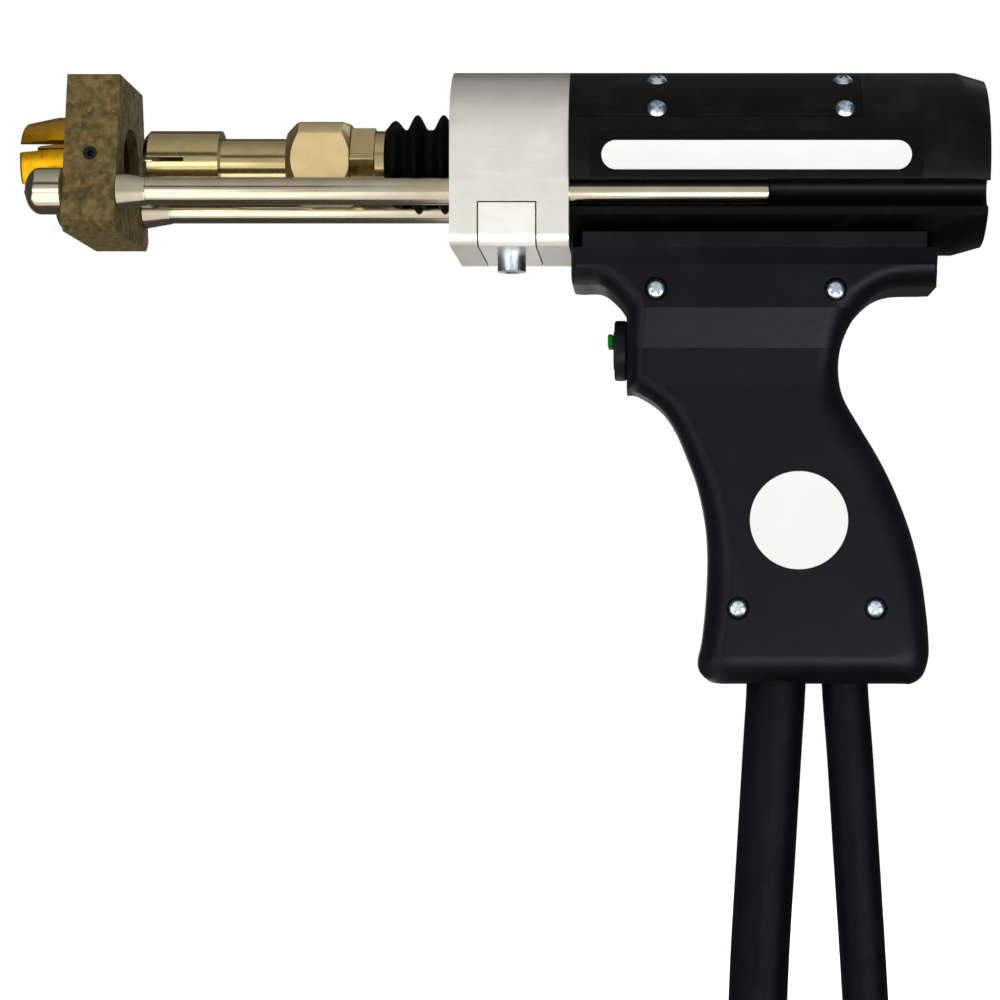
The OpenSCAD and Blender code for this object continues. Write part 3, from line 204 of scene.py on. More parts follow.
# Black oxide on the alloy steel screws of the flange and the cap
SCREW_OXIDE = finish("black_oxide_steel", "#0d0d0e", "#161617", 0.42, 0.08, metallic=0.3, patch=2,
                     grain=0.2, relief=0.003, ior=1.3)
# Gloss film of the label: smooth polyester over black print
LABEL_FILM = finish("black_polyester_film", "#08080a", "#0b0b0c", 0.2, 0.03, patch=20, grain=1.5,
                    relief=0.002, ior=1.14)
# White vinyl of the strip and the badge: smooth with a faint grey bloom
LABEL_VINYL = finish("white_vinyl", "#f1f1ef", "#f7f7f6", 0.4, 0.05, patch=20, grain=1.0,
                     relief=0.002, ior=1.3)
# Green acetal of the trigger's bar, with a soft shine
TRIGGER_GREEN = finish("green_acetal", "#046c0e", "#067a16", 0.38, 0.05, patch=3, grain=0.4,
                       relief=0.004, ior=1.1)
# Black polyamide of the trigger's bezel and button
TRIGGER_BLACK = finish("black_polyamide", "#0f0f11", "#151518", 0.34, 0.06, patch=4, grain=0.4,
                       relief=0.006, ior=1.18)
# Chloroprene sheath of the leads: extruded, with faint lines along it and a bluish sheen
LEAD_RUBBER = finish("chloroprene_sheath", "#0a0a0e", "#0f1015", 0.46, 0.07, patch=12, grain=0.7,
                     relief=0.012, stretch=(1, 1, 0.15), ior=1.11)
# Harder moulded rubber of the plugs
PLUG_RUBBER = finish("moulded_plug_rubber", "#0f0f10", "#161617", 0.52, 0.08, patch=9, grain=0.6,
                     relief=0.02, worn="#202021", ior=1.3)
# Cast bearing bronze of the bushes
BUSH_BRONZE = finish("bearing_bronze", "#a9773a", "#b98848", 0.34, 0.08, metallic=1.0, patch=4,
                     grain=0.3, relief=0.004)
# Brass of the thread inserts and the plug's pin
INSERT_BRASS = finish("turned_brass", "#b8923f", "#c6a24e", 0.3, 0.06, metallic=1.0, patch=3,
                      grain=0.3, relief=0.004)
# Ground steel of the spindle
SPINDLE_STEEL = finish("ground_steel", "#b4b4b4", "#c2c2c1", 0.24, 0.05, metallic=1.0, patch=6,
                       grain=0.25, relief=0.002, stretch=(1, 0.06, 0.06))
# Drawn spring wire
SPRING_WIRE = finish("spring_steel_wire", "#8c8c8e", "#a0a0a2", 0.3, 0.07, metallic=1.0, patch=3,
                     grain=0.3, relief=0.003)
# Annealed iron of the solenoid: grey and dull
SOFT_IRON = finish("annealed_iron", "#66676a", "#747578", 0.48, 0.08, metallic=1.0, patch=5,
                   grain=0.4, relief=0.006)
# Copper of the clamp, lug and braid
COPPER = finish("bare_copper", "#b56f47", "#c27f55", 0.32, 0.08, metallic=1.0, patch=4, grain=0.3,
                relief=0.004)
# Natural nylon of the bobbin and the terminal block
BOBBIN_NYLON = finish("natural_nylon", "#dcd7c6", "#e4e0d2", 0.48, 0.06, patch=6, grain=0.5,
                      relief=0.006)
# Enamelled copper winding, seen as one reddish brown layer
COIL_ENAMEL = finish("enamelled_winding", "#7a3d1c", "#8f4d26", 0.34, 0.06, patch=2, grain=0.4,
                     relief=0.02, stretch=(1, 0.04, 0.04))
# Black polyamide ties around the coils
TIE_NYLON = finish("black_tie_nylon", "#151516", "#1c1c1d", 0.4, 0.06, patch=5, grain=0.4,
                   relief=0.004, ior=1.3)


# Routes of the leads, in millimetres, the same as in the part's source
WELD_ROUTE = [
    (WELD_EXIT, 0, -42), (WELD_EXIT, 0, -58), (-1, 0, -80), (-2.8, 0, -110), (-4.6, 0, -140),
    (-5.6, 0, -168), (-6, 2.6, -200), (-6, 10, -218.5), (-6, 22, -234), (-6, 37.5, -246),
    (-6, 55.5, -253.5), (-6, 75, -256),
]
WELD_TAIL = [(9, 131, -238), (22, 150, -233), (38, 165, -224), (52, 174, -217), (62, 178, -214)]
CONTROL_ROUTE = [
    (CONTROL_EXIT, 0, -42), (CONTROL_EXIT, 0, -58), (22.5, 0, -80), (24.4, 0, -110),
    (26.3, 0, -140), (27.4, 0, -160), (28, 2, -177.5), (28.3, 8, -192), (28.6, 17.5, -204.5),
    (28.8, 30, -214), (29, 44.5, -220), (29, 60, -222), (29, 76, -223),
]
CONTROL_TAIL = [(52, 107, -230), (60, 118, -227), (72, 130, -220), (82, 138, -214), (90, 142, -211)]
# Each coil as (turned angle in degrees, radius, height of the middle), eased between its rows
WELD_COIL = [
    (0, 112, -256), (300, 112, -256), (360, 94, -256), (630, 94, -256), (690, 94, -238),
    (960, 94, -238), (1015, 100, -232), (1065, 107, -231), (1110, 112, -238),
]
CONTROL_COIL = [
    (0, 77, -223), (60, 77, -230), (300, 77, -230), (360, 77, -244), (660, 77, -244),
    (720, 77, -258), (960, 77, -258), (1020, 63, -258), (1260, 63, -258), (1320, 63, -244),
    (1620, 63, -244), (1680, 63, -230), (1830, 63, -230),
]


def eased_step(s):
    """Share that starts and ends gently."""
    return s * s * (3 - 2 * s)


def curve_point(a, b, c, d, t):
    """Point at share t of a smooth curve from b to c, with a before and d after them."""
    return 0.5 * (2 * b + (c - a) * t + (2 * a - 5 * b + 4 * c - d) * t * t
                  + (3 * b - a - 3 * c + d) * t * t * t)


def coil_points(rows, step=7.5):
    """Points of a coil that turns clockwise seen from above, from its rows."""
    points = []
    turned = step
    while turned < rows[-1][0]:
        for before, after in zip(rows, rows[1:]):
            if before[0] <= turned <= after[0]:
                s = eased_step((turned - before[0]) / (after[0] - before[0]))
                radius = before[1] + (after[1] - before[1]) * s
                height = before[2] + (after[2] - before[2]) * s
                break
        angle = math.radians(180 - turned)
        points.append((COIL_X + radius * math.cos(angle), COIL_Y + radius * math.sin(angle), height))
        turned += step
    return points


def smooth_line(points, parts=6):
    """Points of a smooth curve through the given ones."""
    result = []
    vectors = [Vector(p) for p in points]
    for i in range(len(vectors) - 1):
        a = vectors[max(i - 1, 0)]
        b, c = vectors[i], vectors[i + 1]
        d = vectors[min(i + 2, len(vectors) - 1)]
        result += [curve_point(a, b, c, d, k / parts) for k in range(parts)]
    result.append(vectors[-1])
    return result


# How finely a lead is rounded
LEAD_ROUND = 5


def lead(name, route, coil, tail, radius):
    """A lead as one open curve: down from the grip, round its coil and out to its plug."""
    points = smooth_line(route)
    points += [Vector(p) for p in coil_points(coil)]
    points += smooth_line(tail)
    curve = bpy.data.curves.new(name, "CURVE")
    curve.dimensions = "3D"
    curve.bevel_depth = radius * MM
    curve.bevel_resolution = LEAD_ROUND
    curve.use_fill_caps = True
    spline = curve.splines.new("POLY")
    spline.points.add(len(points) - 1)
    for target, point in zip(spline.points, points):
        target.co = (point[0] * MM, point[1] * MM, point[2] * MM, 1)
    spline.use_smooth = True
    curve.materials.append(LEAD_RUBBER)
    made = bpy.data.objects.new(name, curve)
    scene.collection.objects.link(made)
    length = sum((b - a).length for a, b in zip(points, points[1:])) * MM
    return made, length


weld_lead, weld_length = lead("welding_lead", WELD_ROUTE, WELD_COIL, WELD_TAIL, WELD_R)
control_lead, control_length = lead("control_lead", CONTROL_ROUTE, CONTROL_COIL, CONTROL_TAIL,
                                    CONTROL_R)


# How near a point has to lie to a crease's height, in millimetres; how close points of a CAD mesh are
# joined, in metres; and up to which angle its faces count as one flat face, in degrees
CREASE_WITHIN, JOIN_WITHIN, FLAT_WITHIN = 0.01, 2e-6, 0.6


def settle(made):
    """Turns an object's modifiers into a plain mesh."""
    bpy.context.view_layer.update()
    graph = bpy.context.evaluated_depsgraph_get()
    mesh = bpy.data.meshes.new_from_object(made.evaluated_get(graph))
    old = made.data
    made.modifiers.clear()
    made.data = mesh
    mesh.name = made.name
    bpy.data.meshes.remove(old)
    return made


def dress(made, material, body, stands_for=(), sharp=32.0, creases=()):
    """Gives a mesh its smooth shading and material, lets it ride on its body and stand for its nodes.

    sharp is the angle from which an edge stays sharp, creases are heights of edges that do so too."""
    mesh = made.data
    mesh.materials.clear()
    mesh.materials.append(material)
    mesh.shade_smooth()
    mesh.set_sharp_from_angle(angle=math.radians(sharp))
    for edge in mesh.edges:
        ends = [mesh.vertices[k].co.z / MM for k in edge.vertices]
        if any(max(abs(z - level) for z in ends) < CREASE_WITHIN for level in creases):
            edge.use_edge_sharp = True
    evened = made.modifiers.new("normals", "WEIGHTED_NORMAL")
    evened.keep_sharp = True
    settle(made)
    if body:
        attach(made, body)
    if stands_for:
        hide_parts(*stands_for)
    return made


def from_bmesh(name, shape, tidy=True):
    """Object from a bmesh in millimetres, with its doubles merged and its faces turned outwards."""
    if tidy:
        bmesh.ops.remove_doubles(shape, verts=shape.verts[:], dist=1e-4)
        bmesh.ops.recalc_face_normals(shape, faces=shape.faces[:])
    bmesh.ops.scale(shape, vec=(MM, MM, MM), verts=shape.verts[:])
    mesh = bpy.data.meshes.new(name)
    shape.to_mesh(mesh)
    shape.free()
    made = bpy.data.objects.new(name, mesh)
    scene.collection.objects.link(made)
    return made


def softened(made, width, segments=2, angle=40.0, split=False):
    """Rounds an object's sharp edges over by width millimetres; split cuts its large faces up first."""
    if split:
        shape = bmesh.new()
        shape.from_mesh(made.data)
        bmesh.ops.triangulate(shape, faces=[f for f in shape.faces if len(f.verts) > 4])
        shape.to_mesh(made.data)
        shape.free()
    rounding = made.modifiers.new("edges", "BEVEL")
    rounding.width = width * MM
    rounding.segments = segments
    rounding.limit_method = "ANGLE"
    rounding.angle_limit = math.radians(angle)
    rounding.miter_outer = "MITER_ARC"
    return settle(made)


def cut(made, *tools):
    """Takes tool objects out of an object, and deletes the tools."""
    for tool in tools:
        step = made.modifiers.new("cut", "BOOLEAN")
        step.operation = "DIFFERENCE"
        step.solver = "EXACT"
        step.object = tool
        settle(made)
        bpy.data.objects.remove(tool)
    return made


def node_copy(name, node):
    """Copy of a CAD node's mesh with its loose triangles joined and its flat faces whole."""
    shape = bmesh.new()
    shape.from_mesh(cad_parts[node].data)
    bmesh.ops.remove_doubles(shape, verts=shape.verts[:], dist=JOIN_WITHIN)
    bmesh.ops.dissolve_limit(shape, angle_limit=math.radians(FLAT_WITHIN), verts=shape.verts[:],
                             edges=shape.edges[:])
    bmesh.ops.scale(shape, vec=(1 / MM,) * 3, verts=shape.verts[:])
    return from_bmesh(name, shape, tidy=False)


def circle(u, v, radius, sides):
    """Points around (u, v)."""
    return [(u + radius * math.cos(2 * math.pi * k / sides),
             v + radius * math.sin(2 * math.pi * k / sides)) for k in range(sides)]


def turned(name, profile, y, z, sides=96, closed=False):
    """Shape turned about a line along X from (x, radius) points in millimetres."""
    shape = bmesh.new()
    rings = []
    for x, radius in profile:
        if radius < 1e-6:
            rings.append([shape.verts.new((x, y, z))])
            continue
        rings.append([shape.verts.new((x, *p)) for p in circle(y, z, radius, sides)])
    pairs = list(zip(rings, rings[1:]))
    if closed:
        pairs.append((rings[-1], rings[0]))
    for a, b in pairs:
        for k in range(sides):
            n = (k + 1) % sides
            corners = [a[k % len(a)], a[n % len(a)], b[n % len(b)], b[k % len(b)]]
            unique = list(dict.fromkeys(corners))
            if len(unique) > 2:
                shape.faces.new(unique)
    return from_bmesh(name, shape)


def joined(name, pieces):
    """One mesh from several, in place of them."""
    shape = bmesh.new()
    for piece in pieces:
        shape.from_mesh(piece.data)
        bpy.data.objects.remove(piece)
    bmesh.ops.scale(shape, vec=(1 / MM,) * 3, verts=shape.verts[:])
    return from_bmesh(name, shape, tidy=False)


def prism(name, outline, start, end, axis):
    """Outline of (y, z), (x, z) or (x, y) points extruded along X, Y or Z."""
    shape = bmesh.new()
    at = "XYZ".index(axis)
    ends = [[shape.verts.new((*p[:at], s, *p[at:])) for p in outline] for s in (start, end)]
    count = len(outline)
    for k in range(count):
        n = (k + 1) % count
        shape.faces.new((ends[0][k], ends[0][n], ends[1][n], ends[1][k]))
    shape.faces.new(ends[0])
    shape.faces.new(ends[1])
    return from_bmesh(name, shape)


def y_pin(x, z, start, end, radius, sides=48):
    """Round tool along Y."""
    return prism("pin", circle(x, z, radius, sides), start, end, "Y")


# Grip shells: width of the round along the edge, depth of the hollow, lower end, and a seam at the
# split whose edge is eased by a share of the way to the flat side
GRIP_ROUND, HOLLOW_T, GRIP_BOTTOM = 9.0, 11.0, -57.9
SEAM, SEAM_SHARE, ROUND_STEPS = 0.3, 0.03, 8
# Depth that marks the points at the split until the grip's thickness is added
SPLIT_MARK = -100.0
# Height of the trigger, and the bore for its neck: front, rear and radius
TRIGGER_Z = 41.7
NECK_BORE = (-52, -32, 7.65)
# Holes for the leads: how much wider than a lead's radius, lower and upper end, and sides of a hole
GROMMET_WALL, LEAD_HOLE = 1.9, (-60, -48)
HOLE_SIDES = 64
# Outline pairs are (x, z) at the split and on the flat side
GRIP_OUTLINE = [
    ((-60.6, 69.5), (-58.8, 69.5)), ((-60.6, 61.5), (-58.8, 66)), ((-59.1, 60), (-57.5, 66)),
    ((-52, 59.8), (-51.2, 66)), ((-47.5, 56.5), (-44.2, 61.6)), ((-44.8, 53), (-38.9, 55.2)),
    ((-44.4, 51.2), (-38.2, 52)), ((-44.4, 38), (-39.5, 40.2)), ((-44.4, 28.8), (-39.5, 33.5)),
    ((-41, 28.3), (-37, 32)), ((-34.5, 24), (-27.5, 25)), ((-30, 18), (-24.5, 19)),
    ((-26.1, 9), (-19.5, 8.5)), ((-23.1, 0.5), (-16.3, 0)), ((-20.8, -11), (-13.7, -11)),
    ((-20.2, -22), (-12.8, -22)), ((-20.8, -35), (-13.2, -34)), ((-22, -46), (-14.6, -44)),
    ((-23.1, -51), (-14.9, -47.6)), ((-22.6, -54.5), (-14.5, -48.6)),
    ((-19.5, -57.3), (-13.5, -49)), ((-16, -57.9), (-12, -49.1)), ((-12, -57.9), (-9, -49.1)),
    ((12, -57.9), (12, -49.1)), ((36, -57.9), (30, -49.1)), ((40, -57.9), (33, -49.1)),
    ((43.5, -55.5), (34.6, -48.6)), ((45.3, -50), (35.4, -47)),
    ((45.2, -43), (35.4, -42)), ((44.4, -35), (35.1, -35)), ((42.9, -25), (33.7, -25)),
    ((39.9, -13), (30.6, -14)), ((35.4, -1), (25.6, -2.5)), ((30.5, 9), (20.3, 7)),
    ((24.5, 19), (14.6, 16)), ((20, 27), (11.2, 24)), ((18.5, 34), (10, 31.4)),
    ((18.9, 41), (12, 40.5)), ((21, 47.1), (13.9, 51.6)), ((24.5, 52.5), (15, 55.2)),
    ((29.4, 57), (21.1, 59.8)), ((35.4, 59.1), (29.9, 64.5)), ((45.9, 59.4), (40, 66.2)),
    ((47, 60.5), (45.3, 66.3)), ((47, 69.5), (45.3, 69.5)),
]
# Corners of the outline that stay sharp: both top corners and the trigger's pad
GRIP_CORNERS = {0, 6, 8, 44}
# Half thickness of the grip by height, and the hollow inside it as (x, z)
GRIP_PROFILE = [(-58.9, 15.5), (29.5, 15.5), (41, 16.5), (52.5, 20), (65, 20), (69.5, 24)]
GRIP_HOLLOW = [
    (-50, 70.5), (-50, 63.5), (-41.7, 53), (-37.3, 52), (-37.3, 31), (-27, 19), (-19, 4), (-15, -12),
    (-14.5, -50), (36, -50), (36, -40), (34, -26), (29, -13), (23, 0), (17, 10), (12, 22), (11, 32),
    (13, 43), (22.8, 52.8), (30, 61), (38, 64), (38, 70.5),
]
# Grip screws as (x, z), how deep their heads sit, and the pocket around each: depth and radius
HEAD_SINK = 2.35
HEAD_POCKET, HEAD_POCKET_R = 2.4, 3.4
GRIP_SCREWS = [(-35.7, 58.0), (16.8, 57.8), (-11.6, -35.4), (28.9, -35.4)]
# Round badge: middle as (x, z), radius, and the pocket that it lies in
BADGE, BADGE_R = (6.3, -9.5), 14.4
BADGE_POCKET, BADGE_GAP = -14.7, 0.25
# Where tools that cut from outside start, and how far the hollow's tool passes the split
OUTSIDE, SPLIT_OVER = -30, 1


def grip_half_width(z):
    """Half thickness of the grip at a height."""
    for (z0, t0), (z1, t1) in zip(GRIP_PROFILE, GRIP_PROFILE[1:]):
        if z <= z1:
            return t0 + (t1 - t0) * max(0.0, z - z0) / (z1 - z0)
    return GRIP_PROFILE[-1][1]


def grip_lines(parts=4):
    """The outline at the split and on the flat side, with points added on a smooth curve."""
    pairs = [Vector(p[0] + p[1]) for p in GRIP_OUTLINE]
    count = len(pairs)
    lines = []
    for i in range(count - 1):
        b, c = pairs[i], pairs[i + 1]
        a = b if i in GRIP_CORNERS else pairs[i - 1]
        d = c if i + 1 in GRIP_CORNERS else pairs[i + 2]
        lines += [curve_point(a, b, c, d, k / parts) for k in range(parts)]
    lines.append(pairs[-1])
    return lines


def grip_half(name, node, side):
    """Half shell of the grip on the side of Y given by side: rounded edges, slanted band, hollow."""
    lines = grip_lines()
    rings = [[(p[0] + (p[2] - p[0]) * SEAM_SHARE, SPLIT_MARK, p[1] + (p[3] - p[1]) * SEAM_SHARE)
              for p in lines],
             [(p[0], SPLIT_MARK + SEAM, p[1]) for p in lines]]
    for step in range(ROUND_STEPS + 1):
        a = math.radians(90 * step / ROUND_STEPS)
        in_share = 1 - math.cos(a)
        rings.append([(p[0] + (p[2] - p[0]) * in_share, -GRIP_ROUND * (1 - math.sin(a)),
                       p[1] + (p[3] - p[1]) * in_share) for p in lines])
    shape = bmesh.new()
    made = [[shape.verts.new(p) for p in ring] for ring in rings]
    count = len(lines)
    for a, b in zip(made, made[1:]):
        for k in range(count):
            n = (k + 1) % count
            shape.faces.new((a[k], a[n], b[n], b[k]))
    shape.faces.new(made[0])
    shape.faces.new(made[-1])
    for level, _ in GRIP_PROFILE[1:-1]:
        bmesh.ops.bisect_plane(shape, geom=shape.verts[:] + shape.edges[:] + shape.faces[:],
                               plane_co=(0, 0, level), plane_no=(0, 0, 1), dist=1e-5)
    for v in shape.verts:
        if v.co.y < SPLIT_MARK + GRIP_ROUND:
            v.co.y -= SPLIT_MARK
        else:
            v.co.y += grip_half_width(v.co.z)
        v.co.y *= side
    shell = from_bmesh(name, shape)
    tools = [prism("hollow", GRIP_HOLLOW, -SPLIT_OVER * side, HOLLOW_T * side, "Y")]
    front, rear, radius = NECK_BORE
    neck = [(front, 0), (front, radius), (rear, radius), (rear, 0)]
    tools.append(turned("neck", neck, 0, TRIGGER_Z, HOLE_SIDES))
    for x, radius in ((WELD_EXIT, WELD_R), (CONTROL_EXIT, CONTROL_R)):
        hole = circle(x, 0, radius + GROMMET_WALL, HOLE_SIDES)
        tools.append(prism("hole", hole, *LEAD_HOLE, "Z"))
    if side < 0:
        for x, z in GRIP_SCREWS:
            tools.append(y_pin(x, z, OUTSIDE, HEAD_POCKET - grip_half_width(z), HEAD_POCKET_R))
        tools.append(y_pin(*BADGE, OUTSIDE, BADGE_POCKET, BADGE_R + BADGE_GAP, 96))
    cut(shell, *tools)
    return dress(shell, GRIP_NYLON, "gun", [node], sharp=28,
                 creases=[level for level, _ in GRIP_PROFILE[1:-1]])


grip_half("grip_shell_near", "grip_shell_left", -1)
grip_half("grip_shell_far", "grip_shell_right", 1)


# Shoulders of the flange: half width of its flat sides, length over which its arc runs into them,
# the spacing of the lines drawn for that, and how near to the surface a moved point lies
FLANGE_HALF, SHOULDER_BLEND, SHOULDER_STEP, SHOULDER_SKIN = 25.0, 2.0, 1.1, 0.05


def round_shoulders(made):
    """Runs the flange's round top smoothly into its flat sides, where the solid has an edge."""
    shape = bmesh.new()
    shape.from_mesh(made.data)
    edge = math.sqrt(BARREL_R ** 2 - FLANGE_HALF ** 2)
    for k in range(1, math.ceil(edge / SHOULDER_STEP)):
        bmesh.ops.bisect_plane(shape, geom=shape.verts[:] + shape.edges[:] + shape.faces[:], dist=1e-7,
                               plane_co=(0, 0, (AXIS_Z + k * SHOULDER_STEP) * MM), plane_no=(0, 0, 1))
    for v in shape.verts:
        height = v.co.z / MM - AXIS_Z
        if not 0 < height < BARREL_R:
            continue
        arc = math.sqrt(BARREL_R ** 2 - height ** 2)
        if abs(v.co.y) / MM > min(arc, FLANGE_HALF) - SHOULDER_SKIN:
            share = min(1.0, max(0.0, 0.5 + 0.5 * (arc - FLANGE_HALF) / SHOULDER_BLEND))
            width = arc + (FLANGE_HALF - arc) * share - SHOULDER_BLEND * share * (1 - share)
            v.co.y = math.copysign(width * MM, v.co.y)
    shape.to_mesh(made.data)
    shape.free()


# Lips of the leg slots, cut back along the barrel: (x, z), and from which depth to which
SLOT_LIP = [(-70, 79.6), (70, 79.6), (70, 89.2), (-70, 89.2)]
LIP_IN, LIP_OUT = 18.0, 32.0
# Inside of the ferrule grip that gathers soot: radius from the axis in mm
FERRULE_BORE = 11.6
# Nodes with screw holes in a large flat face
HOLED = ("front_flange", "clamp_bar", "rear_cap")
SOFTENED = [
    # piece, node, edge width in mm, material, body, slot
    ("flange_block", "front_flange", 0.5, FLANGE_ALUMINIUM, "gun", "milled_aluminium"),
    ("leg_clamp_bar", "clamp_bar", 0.4, BAR_ALUMINIUM_PAINTED_LIGHT, "leg_clamp", "milled_aluminium"),
    ("barrel_tube", "barrel_housing", 0.3, BARREL_BLACK, "gun", "black_housing"),
    ("cover_sheet", "top_cover", 0.3, COVER_BLACK, "gun", "black_housing"),
    ("end_cap", "rear_cap", 0.4, BARREL_BLACK, "gun", "black_housing"),
    ("saddle_block", "saddle", 0.5, GRIP_NYLON, "gun", "black_grip"),
    ("foot_block", "foot_plate", 0.5, FOOT_LAMINATE, "foot_unit", "foot_laminate"),
    ("ferrule_tube", "ferrule_grip", 0.3, FERRULE_BRASS, "foot_unit", "ferrule_brass"),
    ("stud_chuck", "chuck", 0.3, CHUCK_NICKEL, "spindle_unit", "chuck_nickel"),
    ("adapter_block", "chuck_adapter", 0.35, ADAPTER_NICKEL_PAINTED_LIGHT, "spindle_unit", "chuck_nickel"),
    ("lock_nut_hexagon", "lock_nut", 0.35, CHUCK_NICKEL, "spindle_unit", "chuck_nickel"),
    ("trigger_ring", "trigger_bezel", 0.8, TRIGGER_BLACK, "gun", "black_housing"),
    ("trigger_cap", "trigger_button", 0.6, TRIGGER_BLACK, "trigger", "black_housing"),
    ("trigger_green_bar", "trigger_bar", 0.5, TRIGGER_GREEN, "trigger", "trigger_green"),
]
for piece, node, width, material, body, slot in SOFTENED:
    made = node_copy(piece, node)
    if node in ("barrel_housing", "rear_cap"):
        cut(made, *[prism("lip", SLOT_LIP, side * LIP_IN, side * LIP_OUT, "Y") for side in (-1, 1)])
    if node == "front_flange":
        round_shoulders(made)
    softened(made, width, 2, split=node in HOLED)
    dress(made, material, body, [node])
    if node == "ferrule_grip":
        made.data.materials.append(FERRULE_SOOT)
        for face in made.data.polygons:
            middle = Vector((0, face.center.y, face.center.z - AXIS_Z * MM))
            if middle.length < FERRULE_BORE * MM and face.normal.dot(middle) < 0:
                face.material_index = 1

# Bellows between the spindle's collar and the flange: (share of the length, height, half width) of
# each fold, and the power that rounds its ridge
BELLOWS_FRONT, FLANGE_FRONT = -116.2, -95.6
BELLOWS_VALLEY, BELLOWS_RIDGE, BELLOWS_WALL = 10.3, 14.7, 1.2
BELLOWS_FOLDS = [(0.13, 0.62, 0.15), (0.45, 1.0, 0.155), (0.83, 1.0, 0.155)]
BELLOWS_STEPS, BELLOWS_POWER = 96, 0.8


def bellows_tube():
    """Moulded tube with three round folds, its front end at the spindle's collar."""
    outer = []
    length = FLANGE_FRONT - BELLOWS_FRONT
    for step in range(BELLOWS_STEPS + 1):
        share = step / BELLOWS_STEPS
        waves = [(tall, math.cos(math.pi * min(1.0, abs(share - place) / half)))
                 for place, tall, half in BELLOWS_FOLDS]
        fold = max(tall * (0.5 + 0.5 * wave) ** BELLOWS_POWER for tall, wave in waves)
        outer.append((BELLOWS_FRONT + share * length,
                      BELLOWS_VALLEY + (BELLOWS_RIDGE - BELLOWS_VALLEY) * fold))
    inner = [(x, radius - BELLOWS_WALL) for x, radius in reversed(outer)]
    tube = turned("bellows_tube", outer + inner, 0, AXIS_Z, 96, closed=True)
    dress(tube, BELLOWS_RUBBER, None, ["bellows"], sharp=60)
    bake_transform(tube)


bellows_tube()

# Support legs: (x, radius) from the threaded front end over the cone collar to the round rear end
LEG_Y, LEG_Z = 18.0, 86.7
LEG_LINE = [
    (-215.4, 0), (-215.4, 2.6), (-215.0, 3.0), (-193, 3.0), (-193, 5.3), (-192.7, 5.6),
    (-185.2, 4.3), (-184.6, 4.25), (-184.5, 4.0), (-184.0, 4.0), (-60, 4.0), (-3.6, 4.0),
    (-2.9, 3.7), (-2.5, 3.2), (-2.3, 2.6), (-2.3, 0),
]
NUT_R, NUT_BASE, NUT_FLAT, NUT_DOME = 6.8, -208.5, -215.6, 4.4
NUT_LINE = [(NUT_BASE, 0), (NUT_BASE, 6.4), (NUT_BASE - 0.4, NUT_R)] + [
    (NUT_FLAT - NUT_DOME * math.sin(math.radians(a)), NUT_R * math.cos(math.radians(a)))
    for a in range(0, 86, 5)
] + [(NUT_FLAT - NUT_DOME, 0)]
for piece, node, y in (("near_leg", "leg_left", -LEG_Y), ("far_leg", "leg_right", LEG_Y)):
    dress(turned(piece, LEG_LINE, y, LEG_Z, 72), LEG_NICKEL, "foot_unit", [node], sharp=28)
nuts = [turned("nut", NUT_LINE, y, LEG_Z, 72) for y in (-LEG_Y, LEG_Y)]
dress(joined("domed_leg_nuts", nuts), LEG_NICKEL, "foot_unit", ["leg_nuts"], sharp=28)

# Springs and the braid, which reach from the gun to what moves, kept where they are: piece, node,
# finish, slot, moving body, and the axis along which the moving end lies (towards the front or the top)
for piece, node, material, slot, body, axis in (
    ("spindle_spring", "return_spring", SPRING_WIRE, "spring_steel", "spindle_unit", 0),
    ("button_spring", "trigger_spring", SPRING_WIRE, "spring_steel", "trigger", 0),
    ("copper_braid", "current_braid", COPPER, "copper", "spindle_unit", 2),
):
    low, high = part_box(node)
    middle = [(a + b) / 2 for a, b in zip(low, high)]
    fixed, moving = list(middle), list(middle)
    fixed[axis], moving[axis] = (high[0], low[0]) if axis == 0 else (low[2], high[2])
    made = dress(node_copy(piece, node), material, None, [node])
    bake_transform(made)


# Sizes that the screws' nodes take, and how many sides a head and a shank have
SCREW_SIZES = ("Head Diameter", "Head Height", "Crown Radius", "Recess Length", "Recess Width",
               "Recess Depth", "Shank Diameter", "Shank Length")
HEAD_SIDES, SHANK_SIDES = 48, 24


